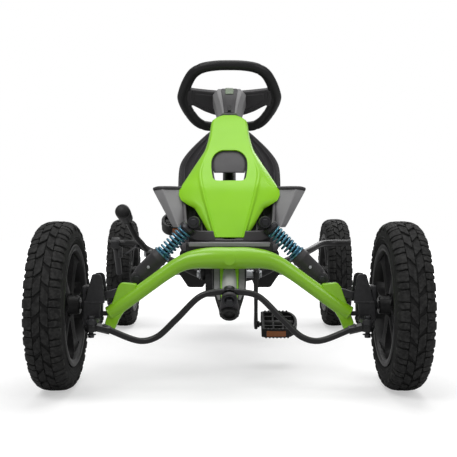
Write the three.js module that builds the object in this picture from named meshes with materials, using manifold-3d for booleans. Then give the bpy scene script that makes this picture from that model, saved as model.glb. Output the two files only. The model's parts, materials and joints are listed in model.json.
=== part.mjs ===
// A pedal go kart with a swinging, sprung front axle. Millimetres, +Z up. The kart faces -Y,
// and its left-hand side is +X. The origin is on the ground, midway between the axles.
import * as THREE from 'three';
import { mergeVertices } from 'three/addons/utils/BufferGeometryUtils.js';
import Module from 'manifold-3d';

const RAD = Math.PI / 180;
const GAP = 0.35; // left between pieces that touch

// Driving dimensions.
const WHEELBASE = 1000;
const FRONT_TRACK = 730;
const REAR_TRACK = 710;
const WHEEL_RADIUS = 180;
const TYRE_WIDTH = 75;
const FRONT_Y = -WHEELBASE / 2;
const REAR_Y = WHEELBASE / 2;

const COLUMN_ANGLE = 42.7 * RAD; // above the horizontal
const HAND_WHEEL = new THREE.Vector3(0, 25, 702); // centre of the steering wheel
const SHAFT_RADIUS = 9;
const COLUMN_RADIUS = 16;
const PITMAN_RADIUS = 42;
const PITMAN_DEPTH = 781; // from the steering wheel down the column to the pitman arm
const TIE_ROD_DEPTH = 766; // the tie rod runs just above the arm

const PIVOT_Z = 279; // axis of the front axle's swing
const AXLE_TUBE_RADIUS = 25;
const AXLE_FLAT = 75; // half length of the arch's level top
const AXLE_END = { x: 255, z: 152 };
const KINGPIN_X = 285;
const STUB_Z = WHEEL_RADIUS;
const TIE_EYE_Z = 140;

const SHOCK_TOP = { x: 78, z: 357 };
const SHOCK_FOOT = { x: 202, z: 234 };
const SHOCK_Y = FRONT_Y + 50;

const BRACKET_Y = -225; // bottom bracket
const BRACKET_Z = 227;
const CRANK_LENGTH = 125;
const CRANK_ARM_X = 66;
const PEDAL_WIDTH = 90;
const PEDAL_TILT = 27 * RAD; // the front edge hangs low at rest
const CHAIN_X = -40;
const CHAINRING_RADIUS = 45;
const SPROCKET_RADIUS = 28;

const BEAM_RADIUS = 24;
const BEAM_Z = 190; // height of the straight part under the seat

// Materials.
const paint = (color, roughness, metalness = 0) =>
  new THREE.MeshStandardMaterial({ color, roughness, metalness });
const LIME = paint(0x86cc34, 0.3);
const AXLE_GREEN = paint(0x6fae28, 0.35);
const FRAME_BLACK = paint(0x1c1c1e, 0.45, 0.3);
const DARK_PLASTIC = paint(0x4a4a4c, 0.6);
const GREY_PLASTIC = paint(0x8c8c8c, 0.55);
const SEAT_PLASTIC = paint(0x3c3c3e, 0.65);
const RIM_PLASTIC = paint(0x1a1a1b, 0.4);
const TYRE_RUBBER = paint(0x242424, 0.9);
const GRIP_RUBBER = paint(0x202022, 0.8);
const STEEL = paint(0xa8abae, 0.35, 0.9);
const SPRING_BLUE = paint(0x3f7f9f, 0.35, 0.6);
const CAST_GREY = paint(0x4a4c4e, 0.5, 0.5);

// Solids: boolean joins and cuts.
const wasm = await Module();
wasm.setup();

function toSolid(geometry) {
  const plain = geometry.clone();
  plain.deleteAttribute('normal');
  plain.deleteAttribute('uv');
  const shared = mergeVertices(plain, 1e-3);
  const corners = shared.index.array;
  const kept = [];
  for (let i = 0; i < corners.length; i += 3) {
    const [a, b, c] = [corners[i], corners[i + 1], corners[i + 2]];
    if (a !== b && b !== c && c !== a) kept.push(a, b, c);
  }
  const vertProperties = Float32Array.from(shared.attributes.position.array);
  const triVerts = Uint32Array.from(kept);
  return new wasm.Manifold(new wasm.Mesh({ numProp: 3, vertProperties, triVerts }));
}

function toGeometry(solid) {
  const mesh = solid.getMesh();
  const geometry = new THREE.BufferGeometry();
  geometry.setAttribute('position', new THREE.BufferAttribute(mesh.vertProperties, 3));
  geometry.setIndex(new THREE.BufferAttribute(mesh.triVerts, 1));
  geometry.computeVertexNormals();
  return geometry;
}

const joined = (...parts) => toGeometry(parts.map(toSolid).reduce((all, next) => all.add(next)));
const cut = (body, ...tools) =>
  toGeometry(tools.map(toSolid).reduce((left, tool) => left.subtract(tool), toSolid(body)));
const common = (first, second) => toGeometry(toSolid(first).intersect(toSolid(second)));

// Shapes.
const vec = (x, y, z) => new THREE.Vector3(x, y, z);

function block(low, high) {
  const size = vec(...high).sub(vec(...low));
  const middle = vec(...high).add(vec(...low)).multiplyScalar(0.5);
  return new THREE.BoxGeometry(size.x, size.y, size.z).translate(middle.x, middle.y, middle.z);
}

function rod(from, to, radius, sides = 12) {
  const run = vec(...to).sub(vec(...from));
  const turn = new THREE.Quaternion().setFromUnitVectors(vec(0, 1, 0), run.clone().normalize());
  return new THREE.CylinderGeometry(radius, radius, run.length(), sides)
    .rotateY(Math.PI / sides)
    .applyQuaternion(turn)
    .translate(...vec(...from).addScaledVector(run, 0.5).toArray());
}

// A profile of [radius, distance along the axis] points turned about X.
function turnedAboutX(profile, sides) {
  const points = profile.map(([radius, along]) => new THREE.Vector2(radius, along));
  const start = Math.PI / sides;
  return new THREE.LatheGeometry(points, sides, start).rotateZ(-Math.PI / 2);
}

const ringProfile = (inner, outer, from, to) => [
  [inner, from], [outer, from], [outer, to], [inner, to], [inner, from]];

function ringBetween(from, to, inner, outer, sides = 16) {
  return cut(rod(from, to, outer, sides), rod(beyond(to, from), beyond(from, to), inner, sides));
}

// The point 1 mm past the end of a run.
function beyond(from, to) {
  const run = vec(...to).sub(vec(...from)).normalize();
  return vec(...to).add(run).toArray();
}

// Points round an arc about the origin. A full turn leaves out the repeated last point.
function arc(radius, from, to, pieces) {
  const full = Math.abs(to - from) > 2 * Math.PI - 1e-6;
  return Array.from({ length: full ? pieces : pieces + 1 }, (_, i) => {
    const angle = from + ((to - from) * i) / pieces;
    return [radius * Math.cos(angle), radius * Math.sin(angle)];
  });
}

function outline(points) {
  return new THREE.Shape(points.map(([x, y]) => new THREE.Vector2(x, y)));
}

const extruded = (shape, depth) =>
  new THREE.ExtrudeGeometry(shape, { depth, bevelEnabled: false, curveSegments: 8 });

// An outline in X and Z, with its thickness running back along +Y from y.
const facingFront = (shape, y, depth) =>
  extruded(shape, depth).rotateX(Math.PI / 2).translate(0, y + depth, 0);

// An outline in Y and Z, with its thickness running along +X from x.
const facingSide = (shape, x, depth) =>
  extruded(shape, depth).rotateZ(Math.PI / 2).rotateY(Math.PI / 2).translate(x, 0, 0);

// An outline in X and Y, with its thickness running up from z.
const facingUp = (shape, z, depth) => extruded(shape, depth).translate(0, 0, z);

function bentTube(points, radius, steps, sides = 10) {
  const path = new THREE.CatmullRomCurve3(points.map((p) => vec(...p)), false, 'centripetal');
  return new THREE.ExtrudeGeometry(outline(arc(radius, 0, 2 * Math.PI, sides)), {
    steps, extrudePath: path, bevelEnabled: false });
}

// The same point on the other side of the kart.
const mirrored = (side, [x, y, z]) => [side * x, y, z];

const kart = new THREE.Group();
kart.name = 'pedal_go_kart';

function addPiece(name, geometry, material, parent = kart) {
  const mesh = new THREE.Mesh(geometry, material);
  mesh.name = name;
  parent.add(mesh);
  return mesh;
}

const SIDES = [['left', 1], ['right', -1]];

// The column's own frame: +Z runs up the column to the driver, and -Y is the top of the wheel.
const COLUMN_TILT = COLUMN_ANGLE - Math.PI / 2;
const inColumn = (geometry) => geometry.rotateX(COLUMN_TILT).translate(...HAND_WHEEL.toArray());

function columnPoint(x, y, z) {
  return vec(x, y, z).applyAxisAngle(vec(1, 0, 0), COLUMN_TILT).add(HAND_WHEEL);
}

const TIE_ROD = columnPoint(0, -PITMAN_RADIUS, -TIE_ROD_DEPTH); // middle of the tie rod
const STEERING_ARM = FRONT_Y - TIE_ROD.y; // kingpin to tie rod

// Frame: beam, front box, lower half of the column housing, swing spindle and bearing tubes.
const HOUSING_LOW = -738;
const HOUSING_SPLIT = -578;
const HOUSING_HIGH = -150;
const HOUSING_BORE = 13.5;
const FRONT_BOX = { x: 95, low: [FRONT_Y + 36, 262], high: [FRONT_Y + 80, 312] };
const SPINDLE_RADIUS = 8;
const SPINDLE_FRONT = FRONT_Y - 36;
const BRACKET_SHELL = 34; // half length
const REAR_TUBE_RADIUS = 20;
const AXLE_SHAFT_RADIUS = 10;

function makeFrame() {
  const beam = bentTube([
    [0, FRONT_Y + 66, 268], [0, -340, 246], [0, BRACKET_Y, BRACKET_Z - 6], [0, -100, 198],
    [0, 20, BEAM_Z], [0, 200, BEAM_Z], [0, REAR_Y - 12, BEAM_Z]], BEAM_RADIUS, 22, 12);
  const [boxFront, boxLow] = FRONT_BOX.low;
  const [boxBack, boxHigh] = FRONT_BOX.high;
  const frontBox = block([-FRONT_BOX.x, boxFront, boxLow], [FRONT_BOX.x, boxBack, boxHigh]);
  const housing = inColumn(
    new THREE.CylinderGeometry(COLUMN_RADIUS, COLUMN_RADIUS, HOUSING_SPLIT - HOUSING_LOW, 16)
      .rotateX(Math.PI / 2).translate(0, 0, (HOUSING_SPLIT + HOUSING_LOW) / 2));
  const spindle = rod([0, SPINDLE_FRONT, PIVOT_Z], [0, boxFront + 12, PIVOT_Z], SPINDLE_RADIUS, 16);
  const bracketShell = rod(
    [-BRACKET_SHELL, BRACKET_Y, BRACKET_Z], [BRACKET_SHELL, BRACKET_Y, BRACKET_Z], 22, 16);
  const rearTube = rod([-26, REAR_Y, STUB_Z], [120, REAR_Y, STUB_Z], REAR_TUBE_RADIUS, 16);
  const rearCross = block([-80, REAR_Y - 80, 176], [0, REAR_Y - 60, 196]);
  const rearPlate = block([-80, REAR_Y - 80, 162], [-70, REAR_Y + 20, 198]);
  const shockMounts = SIDES.flatMap(([, side]) => [
    rod(mirrored(side, [SHOCK_TOP.x, SHOCK_Y - 22, SHOCK_TOP.z]),
      mirrored(side, [SHOCK_TOP.x, boxBack - 4, SHOCK_TOP.z]), 6),
    block([side * SHOCK_TOP.x - 12, boxBack - 10, boxHigh - 6],
      [side * SHOCK_TOP.x + 12, boxBack - 2, SHOCK_TOP.z + 12])]);
  const bore = inColumn(
    new THREE.CylinderGeometry(HOUSING_BORE, HOUSING_BORE, 2 * PITMAN_DEPTH, 16)
      .rotateX(Math.PI / 2));
  const bracketBore = rod([-60, BRACKET_Y, BRACKET_Z], [60, BRACKET_Y, BRACKET_Z], 14, 16);
  const axleBore = rod(
    [-140, REAR_Y, STUB_Z], [140, REAR_Y, STUB_Z], AXLE_SHAFT_RADIUS + 1, 16);
  return cut(
    joined(beam, frontBox, housing, spindle, bracketShell, rearTube, rearCross, rearPlate,
      ...shockMounts),
    bore, bracketBore, axleBore);
}

function addFrame() {
  addPiece('main_frame', makeFrame(), FRAME_BLACK);
  const [start, end] = [HOUSING_SPLIT + GAP, HOUSING_HIGH];
  addPiece('column_tube',
    inColumn(ringBetween([0, 0, start], [0, 0, end], HOUSING_BORE, COLUMN_RADIUS)), FRAME_BLACK);
  const bushes = [['column_bush_upper', HOUSING_HIGH - 30], ['column_bush_lower', HOUSING_LOW]];
  for (const [name, foot] of bushes) {
    const bush = ringBetween([0, 0, foot], [0, 0, foot + 30],
      SHAFT_RADIUS + 0.5, HOUSING_BORE - GAP);
    addPiece(name, inColumn(bush), RIM_PLASTIC);
  }
  addPiece('axle_pivot_nut', ringBetween(
    [0, SPINDLE_FRONT, PIVOT_Z], [0, SPINDLE_FRONT + 7, PIVOT_Z], SPINDLE_RADIUS + GAP, 14, 12),
  STEEL);
}

// Covers over the column. Each is an outline seen from the front, cut from a bent sheet.
function bentSheet(top, thickness) {
  const under = top.map(([y, z]) => [y + 0.6 * thickness, z - 0.8 * thickness]).reverse();
  return facingSide(outline([...top, ...under]), -200, 400);
}

const BONNET_LINE = [
  [-88, 646], [-105, 632], [-165, 584], [-225, 531], [-295, 454], [-350, 410], [-388, 384],
  [-428, 326]];

function addCovers() {
  const half = [
    [38, 322], [55, 374], [100, 392], [112, 420], [86, 470], [62, 520], [52, 550], [45, 632],
    [30, 643]];
  const front = outline([...half, ...half.map(([x, z]) => [-x, z]).reverse()]);
  const window = outline([
    [-40, 452], [40, 452], [44, 480], [36, 524], [20, 532], [-20, 532], [-36, 524], [-44, 480]]);
  const shell = common(facingFront(front, -520, 520), bentSheet(BONNET_LINE, 5));
  addPiece('bonnet', cut(shell, facingFront(window, -520, 520)), LIME);

  const scoopLine = [[-210, 515], [-262, 470]];
  const scoopFront = outline([[-38, 460], [38, 460], [34, 520], [-34, 520]]);
  addPiece('scoop', common(facingFront(scoopFront, -520, 520), bentSheet(scoopLine, 4)),
    DARK_PLASTIC);

  const shroudLine = [[-300, 432], [-362, 385], [-408, 342], [-416, 330]];
  const shroudFront = outline([
    [88, 320], [98, 332], [104, 380], [90, 425], [-90, 425], [-104, 380], [-98, 332], [-88, 320]]);
  addPiece('shroud', common(facingFront(shroudFront, -520, 520), bentSheet(shroudLine, 5)),
    DARK_PLASTIC);

  const finLine = [[-318, 440], [-360, 392], [-380, 346]];
  for (const [name, side] of SIDES) {
    const fin = outline([
      [side * 105, 350], [side * 140, 350], [side * 178, 428], [side * 176, 438],
      [side * 113.5, 438], [side * 113.5, 392], [side * 105, 380]]);
    addPiece(`fin_${name}`, common(facingFront(fin, -520, 520), bentSheet(finLine, 6)),
      GREY_PLASTIC);
  }
}

// Tapered nose plate behind the axle, with the column coming out through it.
function addNose() {
  const face = outline([[-20, 158], [20, 158], [37, 252], [30, 262], [-30, 262], [-37, 252]]);
  const sheet = facingSide(outline([
    [FRONT_Y + 34, 268], [FRONT_Y - 22, 158], [FRONT_Y - 15, 154], [FRONT_Y + 41, 264]]), -60, 120);
  const hole = inColumn(
    new THREE.CylinderGeometry(COLUMN_RADIUS + 1, COLUMN_RADIUS + 1, 2 * PITMAN_DEPTH, 16)
      .rotateX(Math.PI / 2));
  addPiece('nose_cover', cut(common(facingFront(face, -560, 160), sheet), hole), GREY_PLASTIC);
}

// Guard bars keep the feet off the rear wheels. The right one carries the brake.
const GUARD_RADIUS = 10;
const GUARD_ROUTE = [
  [BEAM_RADIUS + 1, 0, 196], [80, 2, 208], [146, 12, 240], [230, 120, 269], [280, 204, 286],
  [316, 225, 288], [340, 225, 288], [366, 225, 288]];
const BRAKE_PIVOT = [-228, 68, 262];

function guardBar(side, radius) {
  return bentTube(GUARD_ROUTE.map((point) => mirrored(side, point)), radius, 22);
}

function addGuards() {
  for (const [name, side] of SIDES) {
    const bar = guardBar(side, GUARD_RADIUS);
    if (side > 0) {
      addPiece(`guard_bar_${name}`, bar, FRAME_BLACK);
      continue;
    }
    const [x, y, z] = BRAKE_PIVOT;
    const ear = block([x + 10, y - 10, z - 12], [x + 16, y + 54, z + 8]);
    const pin = rod([x - 12, y, z], [x + 14, y, z], 5);
    addPiece(`guard_bar_${name}`, joined(bar, ear, pin), FRAME_BLACK);
  }
}

// Drive: crank, chain, sprocket and rear axle.
function stadium(frontRadius, backRadius) {
  const [run, rise] = [REAR_Y - BRACKET_Y, STUB_Z - BRACKET_Z];
  const lean = Math.atan2(rise, run);
  const open = Math.acos((backRadius - frontRadius) / Math.hypot(run, rise));
  const shape = new THREE.Shape();
  shape.absarc(REAR_Y, STUB_Z, backRadius, lean - Math.PI + open, lean + Math.PI - open);
  shape.absarc(BRACKET_Y, BRACKET_Z, frontRadius, lean + Math.PI - open,
    lean + Math.PI + open);
  return shape;
}

function addDrive() {
  const chainShape = stadium(CHAINRING_RADIUS + 7, SPROCKET_RADIUS + 7);
  const inner = facingSide(stadium(CHAINRING_RADIUS + 1, SPROCKET_RADIUS + 1), CHAIN_X - 9, 18);
  addPiece('chain', cut(facingSide(chainShape, CHAIN_X - 3, 6), inner), STEEL);

  const [guardOut, guardIn] = [CHAIN_X - 18, CHAIN_X + 6];
  const guard = facingSide(stadium(CHAINRING_RADIUS + 12, SPROCKET_RADIUS + 12), guardOut,
    guardIn - guardOut);
  const pocket = facingSide(stadium(CHAINRING_RADIUS + 9, SPROCKET_RADIUS + 9), guardOut + 3,
    guardIn - guardOut);
  const holes = [[BRACKET_Y, BRACKET_Z], [REAR_Y, STUB_Z]].map(([y, z]) =>
    rod([-100, y, z], [0, y, z], 15, 16));
  const crossHole = block([-90, REAR_Y - 83, 173], [-50, REAR_Y - 57, 199]);
  addPiece('chain_guard',
    cut(guard, pocket, guardBar(-1, GUARD_RADIUS + 2), crossHole, ...holes), DARK_PLASTIC);

  const chainring = ringBetween([CHAIN_X - 2, BRACKET_Y, BRACKET_Z],
    [CHAIN_X + 2, BRACKET_Y, BRACKET_Z], 10.4, CHAINRING_RADIUS, 24);
  addPiece('chainring', chainring, STEEL);
  const sprocket = ringBetween([CHAIN_X - 2, REAR_Y, STUB_Z], [CHAIN_X + 2, REAR_Y, STUB_Z],
    AXLE_SHAFT_RADIUS + GAP, SPROCKET_RADIUS, 20);
  addPiece('rear_sprocket', sprocket, STEEL);
  const shaftEnd = REAR_TRACK / 2 + 36;
  addPiece('rear_axle_shaft',
    rod([-shaftEnd, REAR_Y, STUB_Z], [shaftEnd, REAR_Y, STUB_Z], AXLE_SHAFT_RADIUS, 16), STEEL);

  addPiece('crank_spindle', rod([-CRANK_ARM_X - 8, BRACKET_Y, BRACKET_Z],
    [CRANK_ARM_X + 8, BRACKET_Y, BRACKET_Z], 10, 16), STEEL);
  for (const [name, side] of SIDES) addCrankArm(name, side);
}

// The left crank points down at rest, and the right one points up.
function addCrankArm(name, side) {
  const pedalZ = BRACKET_Z - side * CRANK_LENGTH;
  const x = side * CRANK_ARM_X;
  const web = block([x - 6, BRACKET_Y - 10, Math.min(BRACKET_Z, pedalZ)],
    [x + 6, BRACKET_Y + 10, Math.max(BRACKET_Z, pedalZ)]);
  const hub = rod([x - 8, BRACKET_Y, BRACKET_Z], [x + 8, BRACKET_Y, BRACKET_Z], 17, 14);
  const eye = rod([x - 6, BRACKET_Y, pedalZ], [x + 6, BRACKET_Y, pedalZ], 12, 12);
  const pin = rod([x, BRACKET_Y, pedalZ],
    [x + side * (PEDAL_WIDTH + 12), BRACKET_Y, pedalZ], 5);
  const bore = rod([x - 20, BRACKET_Y, BRACKET_Z], [x + 20, BRACKET_Y, BRACKET_Z],
    10 + GAP, 16);
  addPiece(`crank_arm_${name}`, cut(joined(web, hub, eye, pin), bore), CAST_GREY);

  const inside = CRANK_ARM_X + 12;
  const low = [Math.min(side * inside, side * (inside + PEDAL_WIDTH)), -42, -13];
  const high = [Math.max(side * inside, side * (inside + PEDAL_WIDTH)), 42, 13];
  const pinHole = rod([-300, 0, 0], [300, 0, 0], 6);
  const tread = cut(block(low, high), pinHole);
  const pedal = addPiece(`pedal_${name}`, tread, DARK_PLASTIC);
  pedal.position.set(0, BRACKET_Y, pedalZ);
  pedal.rotation.x = PEDAL_TILT;
}

// Front axle: an arched tube that swings on the spindle, with a kingpin boss at each end.
const KINGPIN_RADIUS = 6;
const BOSS = { low: 157, high: 213, radius: 13 };
const EAR = 8; // thickness of the knuckle's ears

function makeAxle() {
  const arch = [[-AXLE_END.x, AXLE_END.z], [-165, 215.5], [-AXLE_FLAT, PIVOT_Z - 3],
    [0, PIVOT_Z], [AXLE_FLAT, PIVOT_Z - 3], [165, 215.5], [AXLE_END.x, AXLE_END.z]]
    .map(([x, z]) => [x, FRONT_Y, z]);
  const tube = bentTube(arch, AXLE_TUBE_RADIUS, 24, 14);
  const ends = SIDES.flatMap(([, side]) => [
    rod([side * KINGPIN_X, FRONT_Y, BOSS.low], [side * KINGPIN_X, FRONT_Y, BOSS.high],
      BOSS.radius, 14),
    facingFront(outline([[side * 228, 128], [side * 256, 138], [side * 263, 161],
      [side * 280, 164], [side * 280, 206], [side * 262, 212], [side * 258, 224],
      [side * 232, 228]]), FRONT_Y - 5, 10),
    block([side * SHOCK_FOOT.x - 10, FRONT_Y - 4, 190],
      [side * SHOCK_FOOT.x + 10, FRONT_Y + 4, SHOCK_FOOT.z + 10]),
    rod([side * SHOCK_FOOT.x, FRONT_Y, SHOCK_FOOT.z],
      [side * SHOCK_FOOT.x, SHOCK_Y + 22, SHOCK_FOOT.z], KINGPIN_RADIUS)]);
  const kingpinBores = SIDES.map(([, side]) =>
    rod([side * KINGPIN_X, FRONT_Y, 100], [side * KINGPIN_X, FRONT_Y, 260],
      KINGPIN_RADIUS + 0.5));
  const pivotTube = rod([0, FRONT_Y - 27, PIVOT_Z], [0, FRONT_Y + 21, PIVOT_Z], 15, 16);
  const pivotBore = rod([0, FRONT_Y - 60, PIVOT_Z], [0, FRONT_Y + 60, PIVOT_Z],
    SPINDLE_RADIUS + 0.6, 16);
  return cut(joined(tube, pivotTube, ...ends), pivotBore, ...kingpinBores);
}

function addFrontAxle() {
  addPiece('front_axle', makeAxle(), AXLE_GREEN);
  for (const [name, side] of SIDES) {
    const x = side * KINGPIN_X;
    addPiece(`kingpin_${name}`, rod([x, FRONT_Y, BOSS.low - 14], [x, FRONT_Y, BOSS.high + 14],
      KINGPIN_RADIUS), STEEL);
    addPiece(`knuckle_${name}`, makeKnuckle(side), CAST_GREY);
  }
}

function makeKnuckle(side) {
  const [web, reach] = [KINGPIN_X + 18, STEERING_ARM];
  const ears = [BOSS.low - 1 - EAR, BOSS.high + 1].flatMap((z) => [
    rod([side * KINGPIN_X, FRONT_Y, z], [side * KINGPIN_X, FRONT_Y, z + EAR], 16, 14),
    slab(side, KINGPIN_X, web + EAR, FRONT_Y - 16, FRONT_Y + 16, z, z + EAR)]);
  const back = slab(side, web, web + EAR, FRONT_Y - 16, FRONT_Y + 16,
    BOSS.low - 1 - EAR, BOSS.high + 1 + EAR);
  const stub = rod([side * (web + 4), FRONT_Y, STUB_Z],
    [side * (FRONT_TRACK / 2 + 34), FRONT_Y, STUB_Z], 8, 14);
  const armZ = BOSS.low - 1 - EAR;
  const arm = slab(side, KINGPIN_X - 11, KINGPIN_X + 11, FRONT_Y - reach, FRONT_Y,
    armZ, armZ + EAR);
  const armTip = rod([side * KINGPIN_X, FRONT_Y - reach, armZ],
    [side * KINGPIN_X, FRONT_Y - reach, armZ + EAR], 12, 14);
  const stud = rod([side * KINGPIN_X, FRONT_Y - reach, TIE_EYE_Z - 18],
    [side * KINGPIN_X, FRONT_Y - reach, armZ + 2], 5);
  const bore = rod([side * KINGPIN_X, FRONT_Y, 100], [side * KINGPIN_X, FRONT_Y, 260],
    KINGPIN_RADIUS + 0.5);
  return cut(joined(...ears, back, stub, arm, armTip, stud), bore);
}

function slab(side, xNear, xFar, yLow, yHigh, zLow, zHigh) {
  const [a, b] = [side * xNear, side * xFar];
  return block([Math.min(a, b), yLow, zLow], [Math.max(a, b), yHigh, zHigh]);
}

// Wheels. A flat facet of the tread is at the bottom, so the polygon's apothem is the radius.
const TYRE_SIDES = 36;
const RIM_SIDES = 24;
const RIM_RADIUS = 125;
const SPOKES = 5;

function makeTyre() {
  const half = TYRE_WIDTH / 2;
  const stretch = 1 / Math.cos(Math.PI / TYRE_SIDES);
  const profile = [
    [RIM_RADIUS + 1.5, -half + 5], [146, -half], [168, -half], [WHEEL_RADIUS, -half + 12],
    [WHEEL_RADIUS, half - 12], [168, half], [146, half], [RIM_RADIUS + 1.5, half - 5],
    [RIM_RADIUS + 1.5, -half + 5]];
  return turnedAboutX(profile.map(([radius, along]) => [radius * stretch, along]), TYRE_SIDES);
}

function makeRim(side, boreRadius) {
  const half = TYRE_WIDTH / 2 - 3;
  const barrel = turnedAboutX(ringProfile(RIM_RADIUS - 9, RIM_RADIUS, -half, half), RIM_SIDES);
  const disc = outline(arc(RIM_RADIUS - 4, 0, 2 * Math.PI, SPOKES * 4));
  for (let i = 0; i < SPOKES; i += 1) {
    const middle = Math.PI / 2 + (2 * Math.PI * i) / SPOKES;
    disc.holes.push(outline([
      ...arc(RIM_RADIUS - 17, middle - 20 * RAD, middle + 20 * RAD, 2),
      ...arc(48, middle + 12 * RAD, middle - 12 * RAD, 1)]));
  }
  const web = facingSide(disc, -4.5, 9);
  const hub = rod([-side * 46, 0, 0], [side * 28, 0, 0], 22, 12);
  const bore = rod([-80, 0, 0], [80, 0, 0], boreRadius, 12);
  return cut(joined(barrel, web, hub), bore);
}

function addWheels() {
  const axles = [['front', FRONT_Y, FRONT_TRACK, 8], ['rear', REAR_Y, REAR_TRACK,
    AXLE_SHAFT_RADIUS]];
  for (const [end, y, track, shaft] of axles) {
    for (const [name, side] of SIDES) {
      const wheel = new THREE.Group();
      wheel.position.set((side * track) / 2, y, WHEEL_RADIUS);
      addPiece(`tyre_${end}_${name}`, makeTyre(), TYRE_RUBBER, wheel);
      addPiece(`rim_${end}_${name}`, makeRim(side, shaft + 0.6), RIM_PLASTIC, wheel);
      if (end === 'front') {
        const nut = ringBetween([side * 29, 0, 0], [side * 36, 0, 0], shaft + GAP, 14, 12);
        addPiece(`hub_nut_${name}`, nut, STEEL, wheel);
      }
      kart.add(wheel);
    }
  }
}

// Shock absorbers. Each has its own frame: +Z runs from the lower eye up to the top eye.
const SHOCK_RUN = Math.hypot(SHOCK_FOOT.x - SHOCK_TOP.x, SHOCK_TOP.z - SHOCK_FOOT.z);
const SHOCK_LEAN = Math.atan2(SHOCK_FOOT.x - SHOCK_TOP.x, SHOCK_TOP.z - SHOCK_FOOT.z);
const TUBE = { foot: 12, top: 76, outer: 19, inner: 8.5, floor: 22 };
const SPRING = { foot: 78, top: 150, outer: 17, inner: 10 };
const ROD_FOOT = 40;

const turnedAboutZ = (profile, sides) =>
  new THREE.LatheGeometry(profile.map(([radius, z]) => new THREE.Vector2(radius, z)), sides)
    .rotateX(Math.PI / 2);

function addShocks() {
  for (const [name, side] of SIDES) {
    const shock = new THREE.Group();
    shock.position.set(side * SHOCK_FOOT.x, SHOCK_Y, SHOCK_FOOT.z);
    shock.rotation.y = -side * SHOCK_LEAN;

    const cup = turnedAboutZ([[0, TUBE.foot], [TUBE.outer, TUBE.foot], [TUBE.outer, TUBE.top],
      [TUBE.inner, TUBE.top], [TUBE.inner, TUBE.floor], [0, TUBE.floor]], 12);
    const lowerEye = rod([0, -14, 0], [0, 14, 0], 15, 14);
    const lowerHole = rod([0, -30, 0], [0, 30, 0], 9, 14);
    addPiece(`shock_tube_${name}`, cut(joined(cup, lowerEye), lowerHole), CAST_GREY, shock);

    const spring = turnedAboutZ(ringProfile(SPRING.inner, SPRING.outer, SPRING.foot, SPRING.top),
      12);
    addPiece(`spring_${name}`, spring, SPRING_BLUE, shock);

    const rodAndCap = turnedAboutZ([[0, ROD_FOOT], [6, ROD_FOOT], [6, SPRING.top + 1],
      [19, SPRING.top + 1], [19, SPRING.top + 10], [8, SPRING.top + 12],
      [8, SHOCK_RUN - 8], [0, SHOCK_RUN - 8]], 12);
    const topEye = rod([0, -12, SHOCK_RUN], [0, 12, SHOCK_RUN], 13, 14);
    const topHole = rod([0, -30, SHOCK_RUN], [0, 30, SHOCK_RUN], 6.8, 14);
    addPiece(`shock_rod_${name}`, cut(joined(rodAndCap, topEye), topHole), STEEL, shock);
    kart.add(shock);
  }
}

// Steering. These pieces are placed in the column's frame.
const RIM = { halfWidth: 143, top: 116, bottom: 112, section: 14 };

function rimOutline(inset, path) {
  const count = 28;
  const power = 2 / 2.7; // squarer than an ellipse
  for (let i = 0; i < count; i += 1) {
    const angle = (2 * Math.PI * i) / count;
    const [c, s] = [Math.cos(angle), Math.sin(angle)];
    const height = s > 0 ? RIM.bottom : RIM.top;
    const x = (RIM.halfWidth - inset) * Math.sign(c) * Math.abs(c) ** power;
    const y = (height - inset) * Math.sign(s) * Math.abs(s) ** power;
    if (i === 0) path.moveTo(x, y);
    else path.lineTo(x, y);
  }
  path.closePath();
  return path;
}

function makeRimRing() {
  const bevel = 8;
  const shape = rimOutline(bevel, new THREE.Shape());
  shape.holes.push(rimOutline(2 * RIM.section - bevel, new THREE.Path()));
  return new THREE.ExtrudeGeometry(shape, {
    depth: 12, bevelThickness: bevel, bevelSize: bevel, bevelSegments: 2 }).translate(0, 0, -6);
}

function addSteering() {
  const steering = new THREE.Group();
  steering.position.copy(HAND_WHEEL);
  steering.rotation.x = COLUMN_TILT;

  addPiece('steering_rim', makeRimRing(), GRIP_RUBBER, steering);
  const wing = [[112, -20], [112, 6], [60, 22], [24, 34]];
  const spokes = outline([...wing, ...wing.map(([x, y]) => [-x, y]).reverse(), [-40, -16],
    [-18, -22], [18, -22], [40, -16]]);
  addPiece('steering_spokes', facingUp(spokes, -6, 12), DARK_PLASTIC, steering);

  const hub = facingFront(outline([[-31, -112], [31, -112], [47, -30], [44, -7], [-44, -7],
    [-47, -30]]), -26, 52);
  const hubBore = rod([0, 0, -130], [0, 0, -30], SHAFT_RADIUS + GAP, 16);
  addPiece('steering_hub', cut(hub, hubBore), DARK_PLASTIC, steering);
  addPiece('steering_shaft', rod([0, 0, -PITMAN_DEPTH - 10], [0, 0, -31], SHAFT_RADIUS, 16),
    STEEL, steering);

  const armShape = outline([[-17, 14], [17, 14], [19, -8], [21, -PITMAN_RADIUS],
    [14, -PITMAN_RADIUS - 15], [0, -PITMAN_RADIUS - 21], [-14, -PITMAN_RADIUS - 15],
    [-21, -PITMAN_RADIUS], [-19, -8]]);
  const [low, high] = [-PITMAN_DEPTH - 4, -PITMAN_DEPTH + 4];
  const shaftHole = rod([0, 0, low - 5], [0, 0, high + 5], SHAFT_RADIUS + GAP, 16);
  const bushHole = rod([0, -PITMAN_RADIUS, low - 5], [0, -PITMAN_RADIUS, high + 5],
    BUSH_RADIUS, 24);
  addPiece('pitman_arm', cut(facingUp(armShape, low, 8), shaftHole, bushHole), CAST_GREY,
    steering);
  addPiece('pitman_bush', ringBetween([0, -PITMAN_RADIUS, low], [0, -PITMAN_RADIUS, high],
    PIN_RADIUS + GAP, BUSH_RADIUS - GAP, 24), GRIP_RUBBER, steering);
  kart.add(steering);
}

// Tie rod: one bent bar in front of the axle, with an eye over each steering arm's stud.
const BUSH_RADIUS = 14;
const PIN_RADIUS = 5;
const TIE_ROD_RADIUS = 8;

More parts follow.
